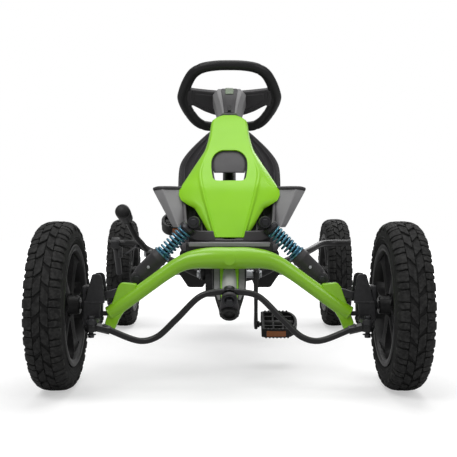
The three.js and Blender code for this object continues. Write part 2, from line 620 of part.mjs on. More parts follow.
function addTieRod() {
  const half = [[33, 0], [60, -8], [110, -56], [150, -92], [182, -100], [236, -82],
    [KINGPIN_X - 14, TIE_EYE_Z - TIE_ROD.z]];
  const route = [...half.map(([x, z]) => [-x, z]).reverse(), [0, 0], ...half]
    .map(([x, z]) => [x, TIE_ROD.y, TIE_ROD.z + z]);
  const bar = bentTube(route, TIE_ROD_RADIUS, 44, 10);
  const eyes = SIDES.map(([, side]) => rod([side * KINGPIN_X, TIE_ROD.y, TIE_EYE_Z - 7],
    [side * KINGPIN_X, TIE_ROD.y, TIE_EYE_Z + 7], 15, 16));
  const eyeHoles = SIDES.map(([, side]) => rod([side * KINGPIN_X, TIE_ROD.y, 100],
    [side * KINGPIN_X, TIE_ROD.y, 180], 9.5, 16));
  const pinEnd = columnPoint(0, -PITMAN_RADIUS, -PITMAN_DEPTH - 16).toArray();
  const pin = rod(TIE_ROD.toArray(), pinEnd, PIN_RADIUS);
  addPiece('tie_rod', cut(joined(bar, pin, ...eyes), ...eyeHoles), FRAME_BLACK);
  const nutStart = columnPoint(0, -PITMAN_RADIUS, -PITMAN_DEPTH - 7).toArray();
  addPiece('tie_rod_nut', ringBetween(nutStart, pinEnd, PIN_RADIUS + GAP, 10, 12), STEEL);
}

// Seat: a bucket shell on a carriage that slides along the beam.
const SEAT = { front: 95, back: 330, floor: 168, pan: 264 };

function addSeat() {
  const skirt = [[126, SEAT.pan], [132, 202], [112, 178], [112, SEAT.floor],
    [122, SEAT.floor], [142, 194], [150, 322], [138, 326], [116, SEAT.pan + 18]];
  const bucket = outline([...skirt, [0, SEAT.pan + 10],
    ...skirt.map(([x, z]) => [-x, z]).reverse()]);
  const apron = [[66, SEAT.pan + 2], [66, 186], [76, SEAT.floor], [122, SEAT.floor], [142, 194],
    [146, SEAT.pan + 2]];
  const aprons = SIDES.map(([, side]) => facingFront(
    outline(apron.map(([x, z]) => [side * x, z])), SEAT.front, 8));
  const pan = facingFront(bucket, SEAT.front, SEAT.back - SEAT.front);
  const backFace = outline([
    [-150, 266], [150, 266], [160, 420], [159, 534], [110, 600], [64, 640], [-64, 640],
    [-110, 600], [-159, 534], [-160, 420]]);
  const opening = outline([[-56, 452], [56, 452], [60, 490], [52, 528], [-52, 528], [-60, 490]]);
  const lean = facingSide(outline([
    [SEAT.back - 12, 262], [SEAT.back + 68, 648], [SEAT.back + 80, 646], [SEAT.back, 260]]),
  -200, 400);
  const back = cut(common(facingFront(backFace, 250, 250), lean),
    facingFront(opening, 250, 250));
  const wings = SIDES.map(([, side]) => common(
    facingSide(outline([[SEAT.back - 50, 306], [SEAT.back - 40, 322], [SEAT.back + 2, 480],
      [SEAT.back + 50, 540], [SEAT.back + 58, 536], [SEAT.back + 6, 284]]),
    side > 0 ? 142 : -154, 12),
    block([-200, 200, 200], [200, 500, 600])));
  addPiece('seat_shell', joined(pan, back, ...wings, ...aprons), SEAT_PLASTIC);

  const saddle = cut(block([-32, 150, BEAM_Z - 14], [32, 290, SEAT.pan - GAP]),
    rod([0, 100, BEAM_Z], [0, 400, BEAM_Z], BEAM_RADIUS + 1.5, 20),
    block([-25.5, 100, 100], [25.5, 400, BEAM_Z]));
  addPiece('seat_carriage', saddle, FRAME_BLACK);
  const knob = turnedAboutX([[0, 0], [5, 0], [5, 14], [16, 16], [16, 30], [0, 32]], 12)
    .translate(32 + GAP, 262, 214);
  addPiece('seat_knob', knob, RIM_PLASTIC);
}

// Hand brake on the right guard bar: lever, rod and a shoe that bears on the rear tyre.
const SHOE_PIVOT = [-345, 225, 288];

function addBrake() {
  const [x, y, z] = BRAKE_PIVOT;
  const boss = rod([x - 8, y, z], [x + 8, y, z], 12, 14);
  const stalk = bentTube([[x, y, z], [-262, 60, 308], [-280, 44, 344], [-285, 22, 362]], 8, 10);
  const bore = rod([x - 30, y, z], [x + 30, y, z], 5.6);
  addPiece('brake_lever', cut(joined(boss, stalk), bore), FRAME_BLACK);
  const grip = turnedAboutZ([[0, 0], [17, 4], [21, 30], [21, 84], [15, 98], [0, 100]], 14)
    .rotateX(78 * RAD).translate(-285.5, 18, 364);
  addPiece('brake_grip', grip, GRIP_RUBBER);

  const [sx, sy, sz] = SHOE_PIVOT;
  const collar = rod([sx - 12, sy, sz], [sx + 12, sy, sz], 18, 16);
  const armLink = facingSide(outline([[sy - 6, sz - 8], [sy + 8, sz - 4], [sy + 68, sz - 70],
    [sy + 76, sz - 100], [sy + 62, sz - 104], [sy + 56, sz - 76]]), sx - 12, 24);
  const lug = block([sx + 12 - 4, sy - 6, sz - 44], [sx + 20, sy + 6, sz - 10]);
  const sleeve = rod([sx - 40, sy, sz], [sx + 40, sy, sz], GUARD_RADIUS + 0.8, 16);
  addPiece('brake_shoe', cut(joined(collar, armLink, lug), sleeve), CAST_GREY);
  addPiece('brake_rod', rod([-260, y - 2, z + 24], [sx + 27, sy - 3, sz - 34], 3.5, 8), STEEL);
}

addFrame();
addCovers();
addNose();
addGuards();
addDrive();
addFrontAxle();
addWheels();
addShocks();
addSteering();
addTieRod();
addSeat();
addBrake();

export default kart;
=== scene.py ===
"""A pedal go kart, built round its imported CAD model. Lengths are in millimetres until MM."""
import json
import math

import bmesh
import bpy
from mathutils import Matrix, Vector


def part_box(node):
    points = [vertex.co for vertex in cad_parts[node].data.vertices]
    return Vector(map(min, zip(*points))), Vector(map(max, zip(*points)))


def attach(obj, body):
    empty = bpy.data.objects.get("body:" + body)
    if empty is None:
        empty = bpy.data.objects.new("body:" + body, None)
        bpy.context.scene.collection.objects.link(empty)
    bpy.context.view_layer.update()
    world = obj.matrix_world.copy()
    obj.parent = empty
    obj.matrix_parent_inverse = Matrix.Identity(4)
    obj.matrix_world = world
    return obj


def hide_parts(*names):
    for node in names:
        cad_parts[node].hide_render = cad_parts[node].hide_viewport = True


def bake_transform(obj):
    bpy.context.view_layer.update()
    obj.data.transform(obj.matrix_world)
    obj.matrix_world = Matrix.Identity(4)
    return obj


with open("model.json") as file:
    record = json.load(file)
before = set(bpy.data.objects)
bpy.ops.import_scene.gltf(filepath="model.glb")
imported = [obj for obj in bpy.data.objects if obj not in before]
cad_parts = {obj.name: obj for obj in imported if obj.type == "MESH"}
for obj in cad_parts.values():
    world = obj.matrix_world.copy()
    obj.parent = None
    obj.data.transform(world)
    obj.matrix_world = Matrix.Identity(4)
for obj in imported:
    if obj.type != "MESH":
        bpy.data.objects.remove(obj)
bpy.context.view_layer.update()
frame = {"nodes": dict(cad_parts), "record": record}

MM = 0.001
UPRIGHT = Matrix.Rotation(math.pi / 2, 4, "X")  # a flat outline stood up to face the front
LEFT_AND_RIGHT = (("left", 1), ("right", -1))

# Driving dimensions, read from the frame where it has them.
tyre_low, tyre_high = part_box("tyre_front_left")
WHEEL_RADIUS = (tyre_high[2] - tyre_low[2]) / MM / 2
FRONT_Y = (tyre_low[1] + tyre_high[1]) / MM / 2
REAR_Y = -FRONT_Y
WHEELS = {}
for wheel_end in ("front", "rear"):
    for wheel_side, sign in LEFT_AND_RIGHT:
        low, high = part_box(f"tyre_{wheel_end}_{wheel_side}")
        WHEELS[wheel_end, wheel_side] = tuple((a + b) / 2 / MM for a, b in zip(low, high))

COLUMN_ANGLE = math.radians(42.7)
HAND_WHEEL = Vector((0, 25, 702))
PIVOT_Z = 279
KINGPIN_X = 285
PITMAN_RADIUS = 42
TIE_ROD_DEPTH = 766
BRACKET_Y, BRACKET_Z = -225, 227
CRANK_LENGTH = 125
CRANK_ARM_X = 66
CHAIN_X = -40
CHAINRING_RADIUS = 45
SPROCKET_RADIUS = 28
BEAM_Z = 190
SHOCK_TOP = Vector((78, FRONT_Y + 50, 357))
SHOCK_FOOT = Vector((202, FRONT_Y + 50, 234))

COLUMN = Matrix.Translation(HAND_WHEEL) @ Matrix.Rotation(COLUMN_ANGLE - math.pi / 2, 4, "X")


# ---------------------------------------------------------------- mesh tools
def new_piece(name, points, faces, body, node=None, material=None, slot=None, smooth=True,
              flat=None):
    """A mesh piece from points in millimetres, riding on a body and standing for its CAD node.
    Where body is (body, body, start, end), the piece is only left in place with its transform
    baked in."""
    mesh = bpy.data.meshes.new(name)
    mesh.from_pydata([Vector(p) * MM for p in points], [], faces)
    mesh.validate()
    piece = bpy.data.objects.new(name, mesh)
    bpy.context.collection.objects.link(piece)
    tidy = bmesh.new()
    tidy.from_mesh(mesh)
    bmesh.ops.remove_doubles(tidy, verts=tidy.verts, dist=1e-6)
    bmesh.ops.recalc_face_normals(tidy, faces=tidy.faces)
    tidy.to_mesh(mesh)
    tidy.free()
    for polygon in mesh.polygons:
        polygon.use_smooth = smooth
    if material:
        mesh.materials.append(material)
    if isinstance(body, str):
        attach(piece, body)
    else:
        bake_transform(piece)
    if node:
        nodes = (node,) if isinstance(node, str) else node
        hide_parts(*nodes)
    slot = slot or SLOT_OF[material]
    if flat:
        flat_shade_above(piece, flat)
    return piece


class Shape:
    """Points and faces gathered from several closed shells of one piece."""

    def __init__(self):
        self.points = []
        self.faces = []

    def add(self, points, faces, place=None):
        start = len(self.points)
        self.points += [place @ Vector(p) if place else Vector(p) for p in points]
        self.faces += [tuple(start + i for i in face) for face in faces]
        return self

    def piece(self, name, body, **options):
        return new_piece(name, self.points, self.faces, body, **options)


def grid_faces(rows, columns, wrap_rows=False, wrap_columns=False):
    faces = []
    for r in range(rows if wrap_rows else rows - 1):
        for c in range(columns if wrap_columns else columns - 1):
            r2, c2 = (r + 1) % rows, (c + 1) % columns
            faces.append((r * columns + c, r * columns + c2, r2 * columns + c2, r2 * columns + c))
    return faces


def smooth_path(points, step=6.0, closed=False):
    """Even steps along a centripetal curve through the points."""
    points = [Vector(p) for p in points]
    count = len(points)
    spans = count if closed else count - 1
    result = []
    for i in range(spans):
        if closed:
            a, b, c, d = (points[(i + k) % count] for k in (-1, 0, 1, 2))
        else:
            b, c = points[i], points[i + 1]
            a = points[i - 1] if i else b + (b - c)
            d = points[i + 2] if i + 2 < count else c + (c - b)
        t0 = 0.0
        t1 = t0 + max((b - a).length, 1e-6) ** 0.5
        t2 = t1 + max((c - b).length, 1e-6) ** 0.5
        t3 = t2 + max((d - c).length, 1e-6) ** 0.5
        pieces = max(1, round((c - b).length / step))
        for k in range(pieces):
            t = t1 + (t2 - t1) * k / pieces
            a1 = a * (t1 - t) / (t1 - t0) + b * (t - t0) / (t1 - t0)
            a2 = b * (t2 - t) / (t2 - t1) + c * (t - t1) / (t2 - t1)
            a3 = c * (t3 - t) / (t3 - t2) + d * (t - t2) / (t3 - t2)
            b1 = a1 * (t2 - t) / (t2 - t0) + a2 * (t - t0) / (t2 - t0)
            b2 = a2 * (t3 - t) / (t3 - t1) + a3 * (t - t1) / (t3 - t1)
            result.append(b1 * (t2 - t) / (t2 - t1) + b2 * (t - t1) / (t2 - t1))
    if not closed:
        result.append(points[-1])
    return result


def swept(path, radius, sides=20, closed=False, round_ends=2.0, squash=1.0):
    """A tube along a path. radius is a number or a function of the fraction along it."""
    path = [Vector(p) for p in path]
    count = len(path)
    radius_at = radius if callable(radius) else lambda _: radius
    if closed:
        tangents = [(path[(i + 1) % count] - path[i - 1]).normalized() for i in range(count)]
    else:
        tangents = [(path[min(i + 1, count - 1)] - path[max(i - 1, 0)]).normalized()
                    for i in range(count)]
    up = Vector((0, 0, 1)) if abs(tangents[0].z) < 0.9 else Vector((0, 1, 0))
    normal = (up - tangents[0] * up.dot(tangents[0])).normalized()
    points = []
    rings = []
    for i, (centre, tangent) in enumerate(zip(path, tangents)):
        normal = (normal - tangent * normal.dot(tangent)).normalized()
        rings.append((centre, tangent, normal.copy(), radius_at(i / max(1, count - 1))))
    if not closed and round_ends:
        first, last = rings[0], rings[-1]
        ends = [(0.0, 0.72), (0.35, 0.93)]
        front = [(first[0] - first[1] * (round_ends * -k), first[1], first[2],
                  first[3] - round_ends * (1 - s) * 1.6) for k, s in ends]
        back = [(last[0] - last[1] * (round_ends * k), last[1], last[2],
                 last[3] - round_ends * (1 - s) * 1.6) for k, s in reversed(ends)]
        inner_first = (first[0] + first[1] * round_ends,) + first[1:]
        inner_last = (last[0] - last[1] * round_ends,) + last[1:]
        rings = front + [inner_first] + rings[1:-1] + [inner_last] + back
    for centre, tangent, across, size in rings:
        side = tangent.cross(across)
        for k in range(sides):
            angle = 2 * math.pi * k / sides
            points.append(centre + across * (math.cos(angle) * size)
                          + side * (math.sin(angle) * size * squash))
    total = len(rings)
    faces = grid_faces(total, sides, wrap_rows=closed, wrap_columns=True)
    if not closed:
        faces.append(tuple(range(sides - 1, -1, -1)))
        faces.append(tuple(range((total - 1) * sides, total * sides)))
    return points, faces


def turned(profile, sides=48, closed=False):
    """A profile of (radius, height) turned about Z. It starts and ends on the axis or closes."""
    rows = len(profile)
    points = []
    for radius, height in profile:
        for k in range(sides):
            angle = 2 * math.pi * k / sides
            points.append((radius * math.cos(angle), radius * math.sin(angle), height))
    faces = grid_faces(rows, sides, wrap_rows=closed, wrap_columns=True)
    return points, faces


def axis_place(origin, direction, twist=0.0):
    """Turns +Z to a direction and moves the origin."""
    turn = Vector((0, 0, 1)).rotation_difference(Vector(direction)).to_matrix().to_4x4()
    return Matrix.Translation(Vector(origin)) @ turn @ Matrix.Rotation(twist, 4, "Z")


def slab(outline, low, high, place=None, inset=1.2):
    """A flat plate from an outline in X and Y, with chamfered edges, between two heights."""
    count = len(outline)
    centre = sum((Vector((x, y, 0)) for x, y in outline), Vector()) / count
    levels = ((low, inset), (low + inset, 0), (high - inset, 0), (high, inset))
    points = []
    for height, pull in levels:
        for i, (x, y) in enumerate(outline):
            here = Vector((x, y, 0))
            before = Vector((*outline[i - 1], 0))
            after = Vector((*outline[(i + 1) % count], 0))
            along = (after - before).normalized()
            side = Vector((-along.y, along.x, 0))
            if side.dot(centre - here) < 0:
                side = -side
            spot = here + side * pull
            points.append((spot.x, spot.y, height))
    faces = grid_faces(4, count, wrap_columns=True)
    faces.append(tuple(range(count - 1, -1, -1)))
    faces.append(tuple(range(3 * count, 4 * count)))
    if place:
        points = [place @ Vector(p) for p in points]
    return points, faces


def rounded(outline, radius, pieces=4):
    """The outline with each corner rounded."""
    result = []
    count = len(outline)
    for i, corner in enumerate(outline):
        here = Vector(corner)
        before, after = Vector(outline[i - 1]), Vector(outline[(i + 1) % count])
        cut = min(radius, (before - here).length * 0.45, (after - here).length * 0.45)
        start = here + (before - here).normalized() * cut
        end = here + (after - here).normalized() * cut
        for k in range(pieces + 1):
            t = k / pieces
            spot = start * (1 - t) ** 2 + here * (2 * t * (1 - t)) + end * t ** 2
            result.append((spot.x, spot.y))
    return result


def bevel(piece, width, segments=2, angle=35):
    modifier = piece.modifiers.new("bevel", "BEVEL")
    modifier.width = width * MM
    modifier.segments = segments
    modifier.limit_method = "ANGLE"
    modifier.angle_limit = math.radians(angle)
    modifier.harden_normals = True
    return piece


def subdivide(piece, levels=2):
    modifier = piece.modifiers.new("subdivision", "SUBSURF")
    modifier.levels = modifier.render_levels = levels
    return piece


def thicken(piece, thickness, offset=-1.0):
    modifier = piece.modifiers.new("thickness", "SOLIDIFY")
    modifier.thickness = thickness * MM
    modifier.offset = offset
    return piece


def bolt_shape(shape, origin, direction, radius, height, washer=True):
    """A hexagon head with a domed top, on a washer."""
    place = axis_place(origin, direction)
    base = 0
    if washer:
        shape.add(*turned([(0, 0), (radius * 1.45, 0), (radius * 1.5, 0.5), (radius * 1.45, 1.4),
                           (0, 1.4)], 24), place)
        base = 1.4
    top = base + height
    hexagon = [(radius * math.cos(math.radians(60 * k)), radius * math.sin(math.radians(60 * k)))
               for k in range(6)]
    shape.add(*slab(rounded(hexagon, radius * 0.12, 2), base, top, inset=radius * 0.12), place)
    return shape


def lofted(rings):
    """A closed skin over rings of points, with a cap at each end."""
    sides = len(rings[0])
    points = [p for ring in rings for p in ring]
    faces = grid_faces(len(rings), sides, wrap_columns=True)
    faces.append(tuple(range(sides - 1, -1, -1)))
    faces.append(tuple(range((len(rings) - 1) * sides, len(rings) * sides)))
    return points, faces


def flat_shade_above(piece, angle):
    """Keeps edges sharp where faces meet at more than an angle."""
    mesh = piece.data
    work = bmesh.new()
    work.from_mesh(mesh)
    limit = math.radians(angle)
    for edge in work.edges:
        edge.smooth = len(edge.link_faces) == 2 and edge.calc_face_angle(0) < limit
    work.to_mesh(mesh)
    work.free()


# ---------------------------------------------------------------- shared effects
def node_group(name, inputs, outputs):
    """An empty group with named float or colour sockets."""
    group = bpy.data.node_groups.new(name, "ShaderNodeTree")
    for label, default in inputs:
        kind = "NodeSocketColor" if isinstance(default, tuple) else "NodeSocketFloat"
        socket = group.interface.new_socket(name=label, in_out="INPUT", socket_type=kind)
        socket.default_value = default
    for label, kind in outputs:
        group.interface.new_socket(name=label, in_out="OUTPUT", socket_type=kind)
    entry = group.nodes.new("NodeGroupInput")
    leave = group.nodes.new("NodeGroupOutput")
    return group, entry, leave


def math_node(tree, operation, first, second=None, clamp=False):
    node = tree.nodes.new("ShaderNodeMath")
    node.operation = operation
    node.use_clamp = clamp
    for socket, value in zip(node.inputs, (first, second)):
        if value is None:
            continue
        if isinstance(value, (int, float)):
            socket.default_value = value
        else:
            tree.links.new(value, socket)
    return node.outputs[0]


def noise_node(tree, scale, detail=4.0, roughness=0.55):
    place = tree.nodes.new("ShaderNodeTexCoord")
    node = tree.nodes.new("ShaderNodeTexNoise")
    node.inputs["Detail"].default_value = detail
    node.inputs["Roughness"].default_value = roughness
    tree.links.new(place.outputs["Object"], node.inputs["Vector"])
    if isinstance(scale, (int, float)):
        node.inputs["Scale"].default_value = scale
    else:
        tree.links.new(scale, node.inputs["Scale"])
    return node.outputs["Fac"]


def range_node(tree, value, low, high, to_low=0.0, to_high=1.0):
    node = tree.nodes.new("ShaderNodeMapRange")
    node.inputs["From Min"].default_value = low
    node.inputs["From Max"].default_value = high
    node.inputs["To Min"].default_value = to_low
    node.inputs["To Max"].default_value = to_high
    tree.links.new(value, node.inputs["Value"])
    return node.outputs["Result"]


def make_edge_wear():
    """Lighter rubbed edges, broken up by noise."""
    group, entry, leave = node_group(
        "edge_wear", [("Amount", 0.5), ("Scale", 90.0)], [("Mask", "NodeSocketFloat")])
    shape = group.nodes.new("ShaderNodeNewGeometry")
    edge = range_node(group, shape.outputs["Pointiness"], 0.53, 0.60)
    patch = range_node(group, noise_node(group, entry.outputs["Scale"]), 0.42, 0.62)
    mask = math_node(group, "MULTIPLY", edge, patch)
    mask = math_node(group, "MULTIPLY", mask, entry.outputs["Amount"], clamp=True)
    group.links.new(mask, leave.inputs["Mask"])
    return group


def make_moulded_grain():
    """The fine leathery grain of moulded plastic, with broad soft unevenness."""
    group, entry, leave = node_group(
        "moulded_grain", [("Scale", 900.0), ("Depth", 1.0)],
        [("Height", "NodeSocketFloat"), ("Shade", "NodeSocketFloat")])
    place = group.nodes.new("ShaderNodeTexCoord")
    cells = group.nodes.new("ShaderNodeTexVoronoi")
    cells.feature = "SMOOTH_F1"
    group.links.new(place.outputs["Object"], cells.inputs["Vector"])
    group.links.new(entry.outputs["Scale"], cells.inputs["Scale"])
    fine = noise_node(group, entry.outputs["Scale"], 2.0)
    height = math_node(group, "ADD", cells.outputs["Distance"], fine)
    height = math_node(group, "MULTIPLY", height, entry.outputs["Depth"])
    group.links.new(height, leave.inputs["Height"])
    broad = range_node(group, noise_node(group, 7.0, 3.0), 0.3, 0.7)
    group.links.new(broad, leave.inputs["Shade"])
    return group


def make_dust():
    """Dust that settles on faces turned up, in noisy patches."""
    group, entry, leave = node_group(
        "dust", [("Amount", 0.3), ("Scale", 25.0)], [("Mask", "NodeSocketFloat")])
    shape = group.nodes.new("ShaderNodeNewGeometry")
    split = group.nodes.new("ShaderNodeSeparateXYZ")
    group.links.new(shape.outputs["Normal"], split.inputs[0])
    facing = range_node(group, split.outputs["Z"], -0.2, 0.9, 0.25, 1.0)
    patch = range_node(group, noise_node(group, entry.outputs["Scale"], 6.0, 0.65), 0.38, 0.72)
    mask = math_node(group, "MULTIPLY", facing, patch)
    mask = math_node(group, "MULTIPLY", mask, entry.outputs["Amount"], clamp=True)
    group.links.new(mask, leave.inputs["Mask"])
    return group


def make_orange_peel():
    """The long soft ripple of powder coat or gloss plastic, with tiny specks."""
    group, entry, leave = node_group(
        "orange_peel", [("Scale", 160.0), ("Specks", 0.2)],
        [("Height", "NodeSocketFloat"), ("Shade", "NodeSocketFloat")])
    ripple = noise_node(group, entry.outputs["Scale"], 1.5, 0.4)
    speck = range_node(group, noise_node(group, 1400.0, 1.0), 0.6, 0.75)
    speck = math_node(group, "MULTIPLY", speck, entry.outputs["Specks"])
    group.links.new(math_node(group, "ADD", ripple, speck), leave.inputs["Height"])
    group.links.new(range_node(group, noise_node(group, 5.0, 3.0), 0.35, 0.65),
                    leave.inputs["Shade"])
    return group


EDGE_WEAR = make_edge_wear()
MOULDED_GRAIN = make_moulded_grain()
DUST = make_dust()
ORANGE_PEEL = make_orange_peel()


# ---------------------------------------------------------------- materials
class Finish:
    """A Principled material built up from the shared effects."""

    def __init__(self, name, colour, roughness, metallic=0.0, coat=0.0, specular=0.5,
                 coat_roughness=0.1):
        self.material = bpy.data.materials.new(name)
        self.material.use_nodes = True
        self.tree = self.material.node_tree
        self.shader = self.tree.nodes["Principled BSDF"]
        self.shader.inputs["Base Color"].default_value = (*colour, 1)
        self.shader.inputs["Roughness"].default_value = roughness
        self.shader.inputs["Metallic"].default_value = metallic
        self.shader.inputs["Coat Weight"].default_value = coat
        self.shader.inputs["Coat Roughness"].default_value = coat_roughness
        self.shader.inputs["Specular IOR Level"].default_value = specular
        self.colour = None
        self.base = (*colour, 1)
        self.roughness = roughness

    def effect(self, group, **values):
        node = self.tree.nodes.new("ShaderNodeGroup")
        node.node_tree = group
        for label, value in values.items():
            node.inputs[label].default_value = value
        return node

    def tint(self, mask, colour):
        """Mixes a colour in where the mask is high."""
        mix = self.tree.nodes.new("ShaderNodeMix")
        mix.data_type = "RGBA"
        self.tree.links.new(mask, mix.inputs["Factor"])
        if self.colour:
            self.tree.links.new(self.colour, mix.inputs["A"])
        else:
            mix.inputs["A"].default_value = self.base
        mix.inputs["B"].default_value = (*colour, 1)
        self.colour = mix.outputs["Result"]
        self.tree.links.new(self.colour, self.shader.inputs["Base Color"])
        return self

    def vary_roughness(self, mask, low, high):
        self.tree.links.new(range_node(self.tree, mask, 0, 1, low, high),
                            self.shader.inputs["Roughness"])
        return self

    def bump(self, height, distance, strength=1.0):
        node = self.tree.nodes.new("ShaderNodeBump")
        node.inputs["Distance"].default_value = distance * MM
        node.inputs["Strength"].default_value = strength
        self.tree.links.new(height, node.inputs["Height"])
        self.tree.links.new(node.outputs["Normal"], self.shader.inputs["Normal"])
        return self


def gloss_paint(name, colour, shade, roughness=0.28, coat=0.6, wear=0.35, specular=0.5):
    """Gloss plastic or powder coat: ripple, slow colour change, rubbed edges and a coat."""
    finish = Finish(name, colour, roughness, coat=coat, specular=specular, coat_roughness=0.12)
    peel = finish.effect(ORANGE_PEEL, Scale=170.0, Specks=0.1)
    finish.tint(peel.outputs["Shade"], shade)
    edges = finish.effect(EDGE_WEAR, Amount=wear, Scale=120.0)
    lighter = tuple(min(1, c * 1.6 + 0.05) for c in colour)
    finish.tint(edges.outputs["Mask"], lighter)
    dust = finish.effect(DUST, Amount=0.02, Scale=30.0)
    finish.tint(dust.outputs["Mask"], (0.40, 0.38, 0.34))
    finish.vary_roughness(peel.outputs["Shade"], roughness, roughness + 0.08)
    return finish.bump(peel.outputs["Height"], 0.05, 0.35).material


def grained_plastic(name, colour, roughness=0.55, scale=900.0, depth=0.12, wear=0.25,
                    specular=0.3):
    """Moulded plastic with a fine grain."""
    finish = Finish(name, colour, roughness, specular=specular)
    grain = finish.effect(MOULDED_GRAIN, Scale=scale, Depth=1.0)
    finish.tint(grain.outputs["Shade"], tuple(c * 0.82 for c in colour))
    edges = finish.effect(EDGE_WEAR, Amount=wear, Scale=140.0)
    finish.tint(edges.outputs["Mask"], tuple(min(1, c * 2.0 + 0.03) for c in colour))
    dust = finish.effect(DUST, Amount=0.035, Scale=22.0)
    finish.tint(dust.outputs["Mask"], (0.30, 0.28, 0.26))
    finish.vary_roughness(grain.outputs["Shade"], roughness - 0.06, roughness + 0.08)
    return finish.bump(grain.outputs["Height"], depth, 0.5).material


def tyre_rubber():
    """Dull black rubber: moulding grain, scuffed knob edges and road dust."""
    finish = Finish("tyre_rubber", (0.011, 0.011, 0.011), 0.72, specular=0.22)
    grain = finish.effect(MOULDED_GRAIN, Scale=420.0, Depth=1.0)
    finish.tint(grain.outputs["Shade"], (0.009, 0.009, 0.009))
    edges = finish.effect(EDGE_WEAR, Amount=0.5, Scale=160.0)
    finish.tint(edges.outputs["Mask"], (0.045, 0.045, 0.044))
    dust = finish.effect(DUST, Amount=0.10, Scale=35.0)
    finish.tint(dust.outputs["Mask"], (0.075, 0.07, 0.065))
    finish.vary_roughness(grain.outputs["Shade"], 0.7, 0.88)
    return finish.bump(grain.outputs["Height"], 0.2, 0.5).material


def bare_steel(name, colour, roughness=0.32):
    """Zinc-plated steel: a fine ripple with specks, and dull patches."""
    finish = Finish(name, colour, roughness, metallic=1.0)
    peel = finish.effect(ORANGE_PEEL, Scale=600.0, Specks=0.5)
    finish.tint(peel.outputs["Shade"], tuple(c * 0.75 for c in colour))
    finish.vary_roughness(peel.outputs["Shade"], roughness, roughness + 0.16)
    return finish.bump(peel.outputs["Height"], 0.03, 0.4).material


def spring_enamel():
    """Blue-green metallic enamel on the coils."""
    finish = Finish("spring_enamel", (0.03, 0.15, 0.26), 0.25, metallic=0.7, coat=0.5)
    peel = finish.effect(ORANGE_PEEL, Scale=420.0, Specks=0.6)
    finish.tint(peel.outputs["Shade"], (0.035, 0.20, 0.27))
    edges = finish.effect(EDGE_WEAR, Amount=0.4, Scale=260.0)
    finish.tint(edges.outputs["Mask"], (0.45, 0.62, 0.68))
    finish.vary_roughness(peel.outputs["Shade"], 0.22, 0.36)
    return finish.bump(peel.outputs["Height"], 0.04, 0.5).material


def amber_reflector():
    """Amber plastic over a grid of small prisms."""
    finish = Finish("amber_reflector", (0.42, 0.12, 0.015), 0.25, coat=0.8)
    place = finish.tree.nodes.new("ShaderNodeTexCoord")
    prisms = finish.tree.nodes.new("ShaderNodeTexVoronoi")
    prisms.distance = "CHEBYCHEV"
    prisms.inputs["Scale"].default_value = 420
    prisms.inputs["Randomness"].default_value = 0.0
    finish.tree.links.new(place.outputs["Object"], prisms.inputs["Vector"])
    finish.tint(prisms.outputs["Distance"], (0.20, 0.045, 0.005))
    return finish.bump(prisms.outputs["Distance"], 0.5, 0.8).material


LIME = gloss_paint("lime_shell", (0.262, 0.600, 0.010), (0.232, 0.550, 0.008), 0.36, 0.08, 0.12,
                   0.25)
AXLE_GREEN = gloss_paint("axle_green", (0.245, 0.535, 0.010), (0.215, 0.485, 0.008), 0.28, 0.4,
                         0.15, 0.4)
STRIPE_GREEN = gloss_paint("stripe_green", (0.30, 0.64, 0.03), (0.26, 0.58, 0.025), 0.3, 0.4, 0.2)
PATCH_GREEN = gloss_paint("patch_green", (0.075, 0.13, 0.05), (0.06, 0.105, 0.04), 0.4, 0.2, 0.2)
# Light grey painted highlight: it stands in for the lit upper face of the sloping column housing,
# on the nose strip and on the column collar.
PAINTED_HIGHLIGHT_GREY = gloss_paint("painted_highlight_grey", (0.50, 0.50, 0.49), (0.42, 0.42, 0.42), 0.35, 0.3)
FRAME_BLACK = gloss_paint("frame_black", (0.006, 0.006, 0.0065), (0.009, 0.009, 0.0095),
                          0.30, 0.10, 0.2, 0.3)
DARK_PLASTIC = grained_plastic("dark_plastic", (0.042, 0.040, 0.043), 0.48)
MID_PLASTIC = grained_plastic("mid_plastic", (0.078, 0.074, 0.078), 0.46)
BLACK_PLASTIC = grained_plastic("black_plastic", (0.010, 0.010, 0.0105), 0.42)
GREY_PLASTIC = grained_plastic("grey_plastic", (0.225, 0.222, 0.226), 0.48, wear=0.1)
SEAT_PLASTIC = grained_plastic("seat_plastic", (0.036, 0.034, 0.037), 0.52, 700.0, 0.2)
RIM_PLASTIC = grained_plastic("rim_plastic", (0.007, 0.007, 0.0075), 0.40)
TYRE_RUBBER = tyre_rubber()
GRIP_RUBBER = grained_plastic("grip_rubber", (0.009, 0.009, 0.0095), 0.40, 1100.0, 0.08)
STEEL = bare_steel("zinc_steel", (0.52, 0.53, 0.55))
DARK_STEEL = bare_steel("dark_steel", (0.060, 0.060, 0.064), 0.36)
SPRING_BLUE = spring_enamel()
CAST_GREY = gloss_paint("cast_grey", (0.018, 0.018, 0.020), (0.013, 0.013, 0.014), 0.40, 0.06,
                        0.35, 0.35)
AMBER = amber_reflector()

SLOT_FINISHES = {
    "lime_shell": LIME, "axle_green": AXLE_GREEN, "frame_black": FRAME_BLACK,
    "dark_plastic": DARK_PLASTIC, "grey_plastic": GREY_PLASTIC, "seat_plastic": SEAT_PLASTIC,
    "rim_plastic": RIM_PLASTIC, "tyre_rubber": TYRE_RUBBER, "grip_rubber": GRIP_RUBBER,
    "steel": STEEL, "spring_blue": SPRING_BLUE, "cast_grey": CAST_GREY}
SLOT_OF = {finish: slot for slot, finish in SLOT_FINISHES.items()}
SLOT_OF |= {MID_PLASTIC: "dark_plastic", BLACK_PLASTIC: "dark_plastic", AMBER: "dark_plastic",
            DARK_STEEL: "steel", PAINTED_HIGHLIGHT_GREY: "grey_plastic", STRIPE_GREEN: "lime_shell",
            PATCH_GREEN: "axle_green"}
for row in frame["record"]["subparts"]:
    shown = frame["nodes"][row["node"]]
    shown.data.materials.clear()
    shown.data.materials.append(SLOT_FINISHES[row["material_slot"]])


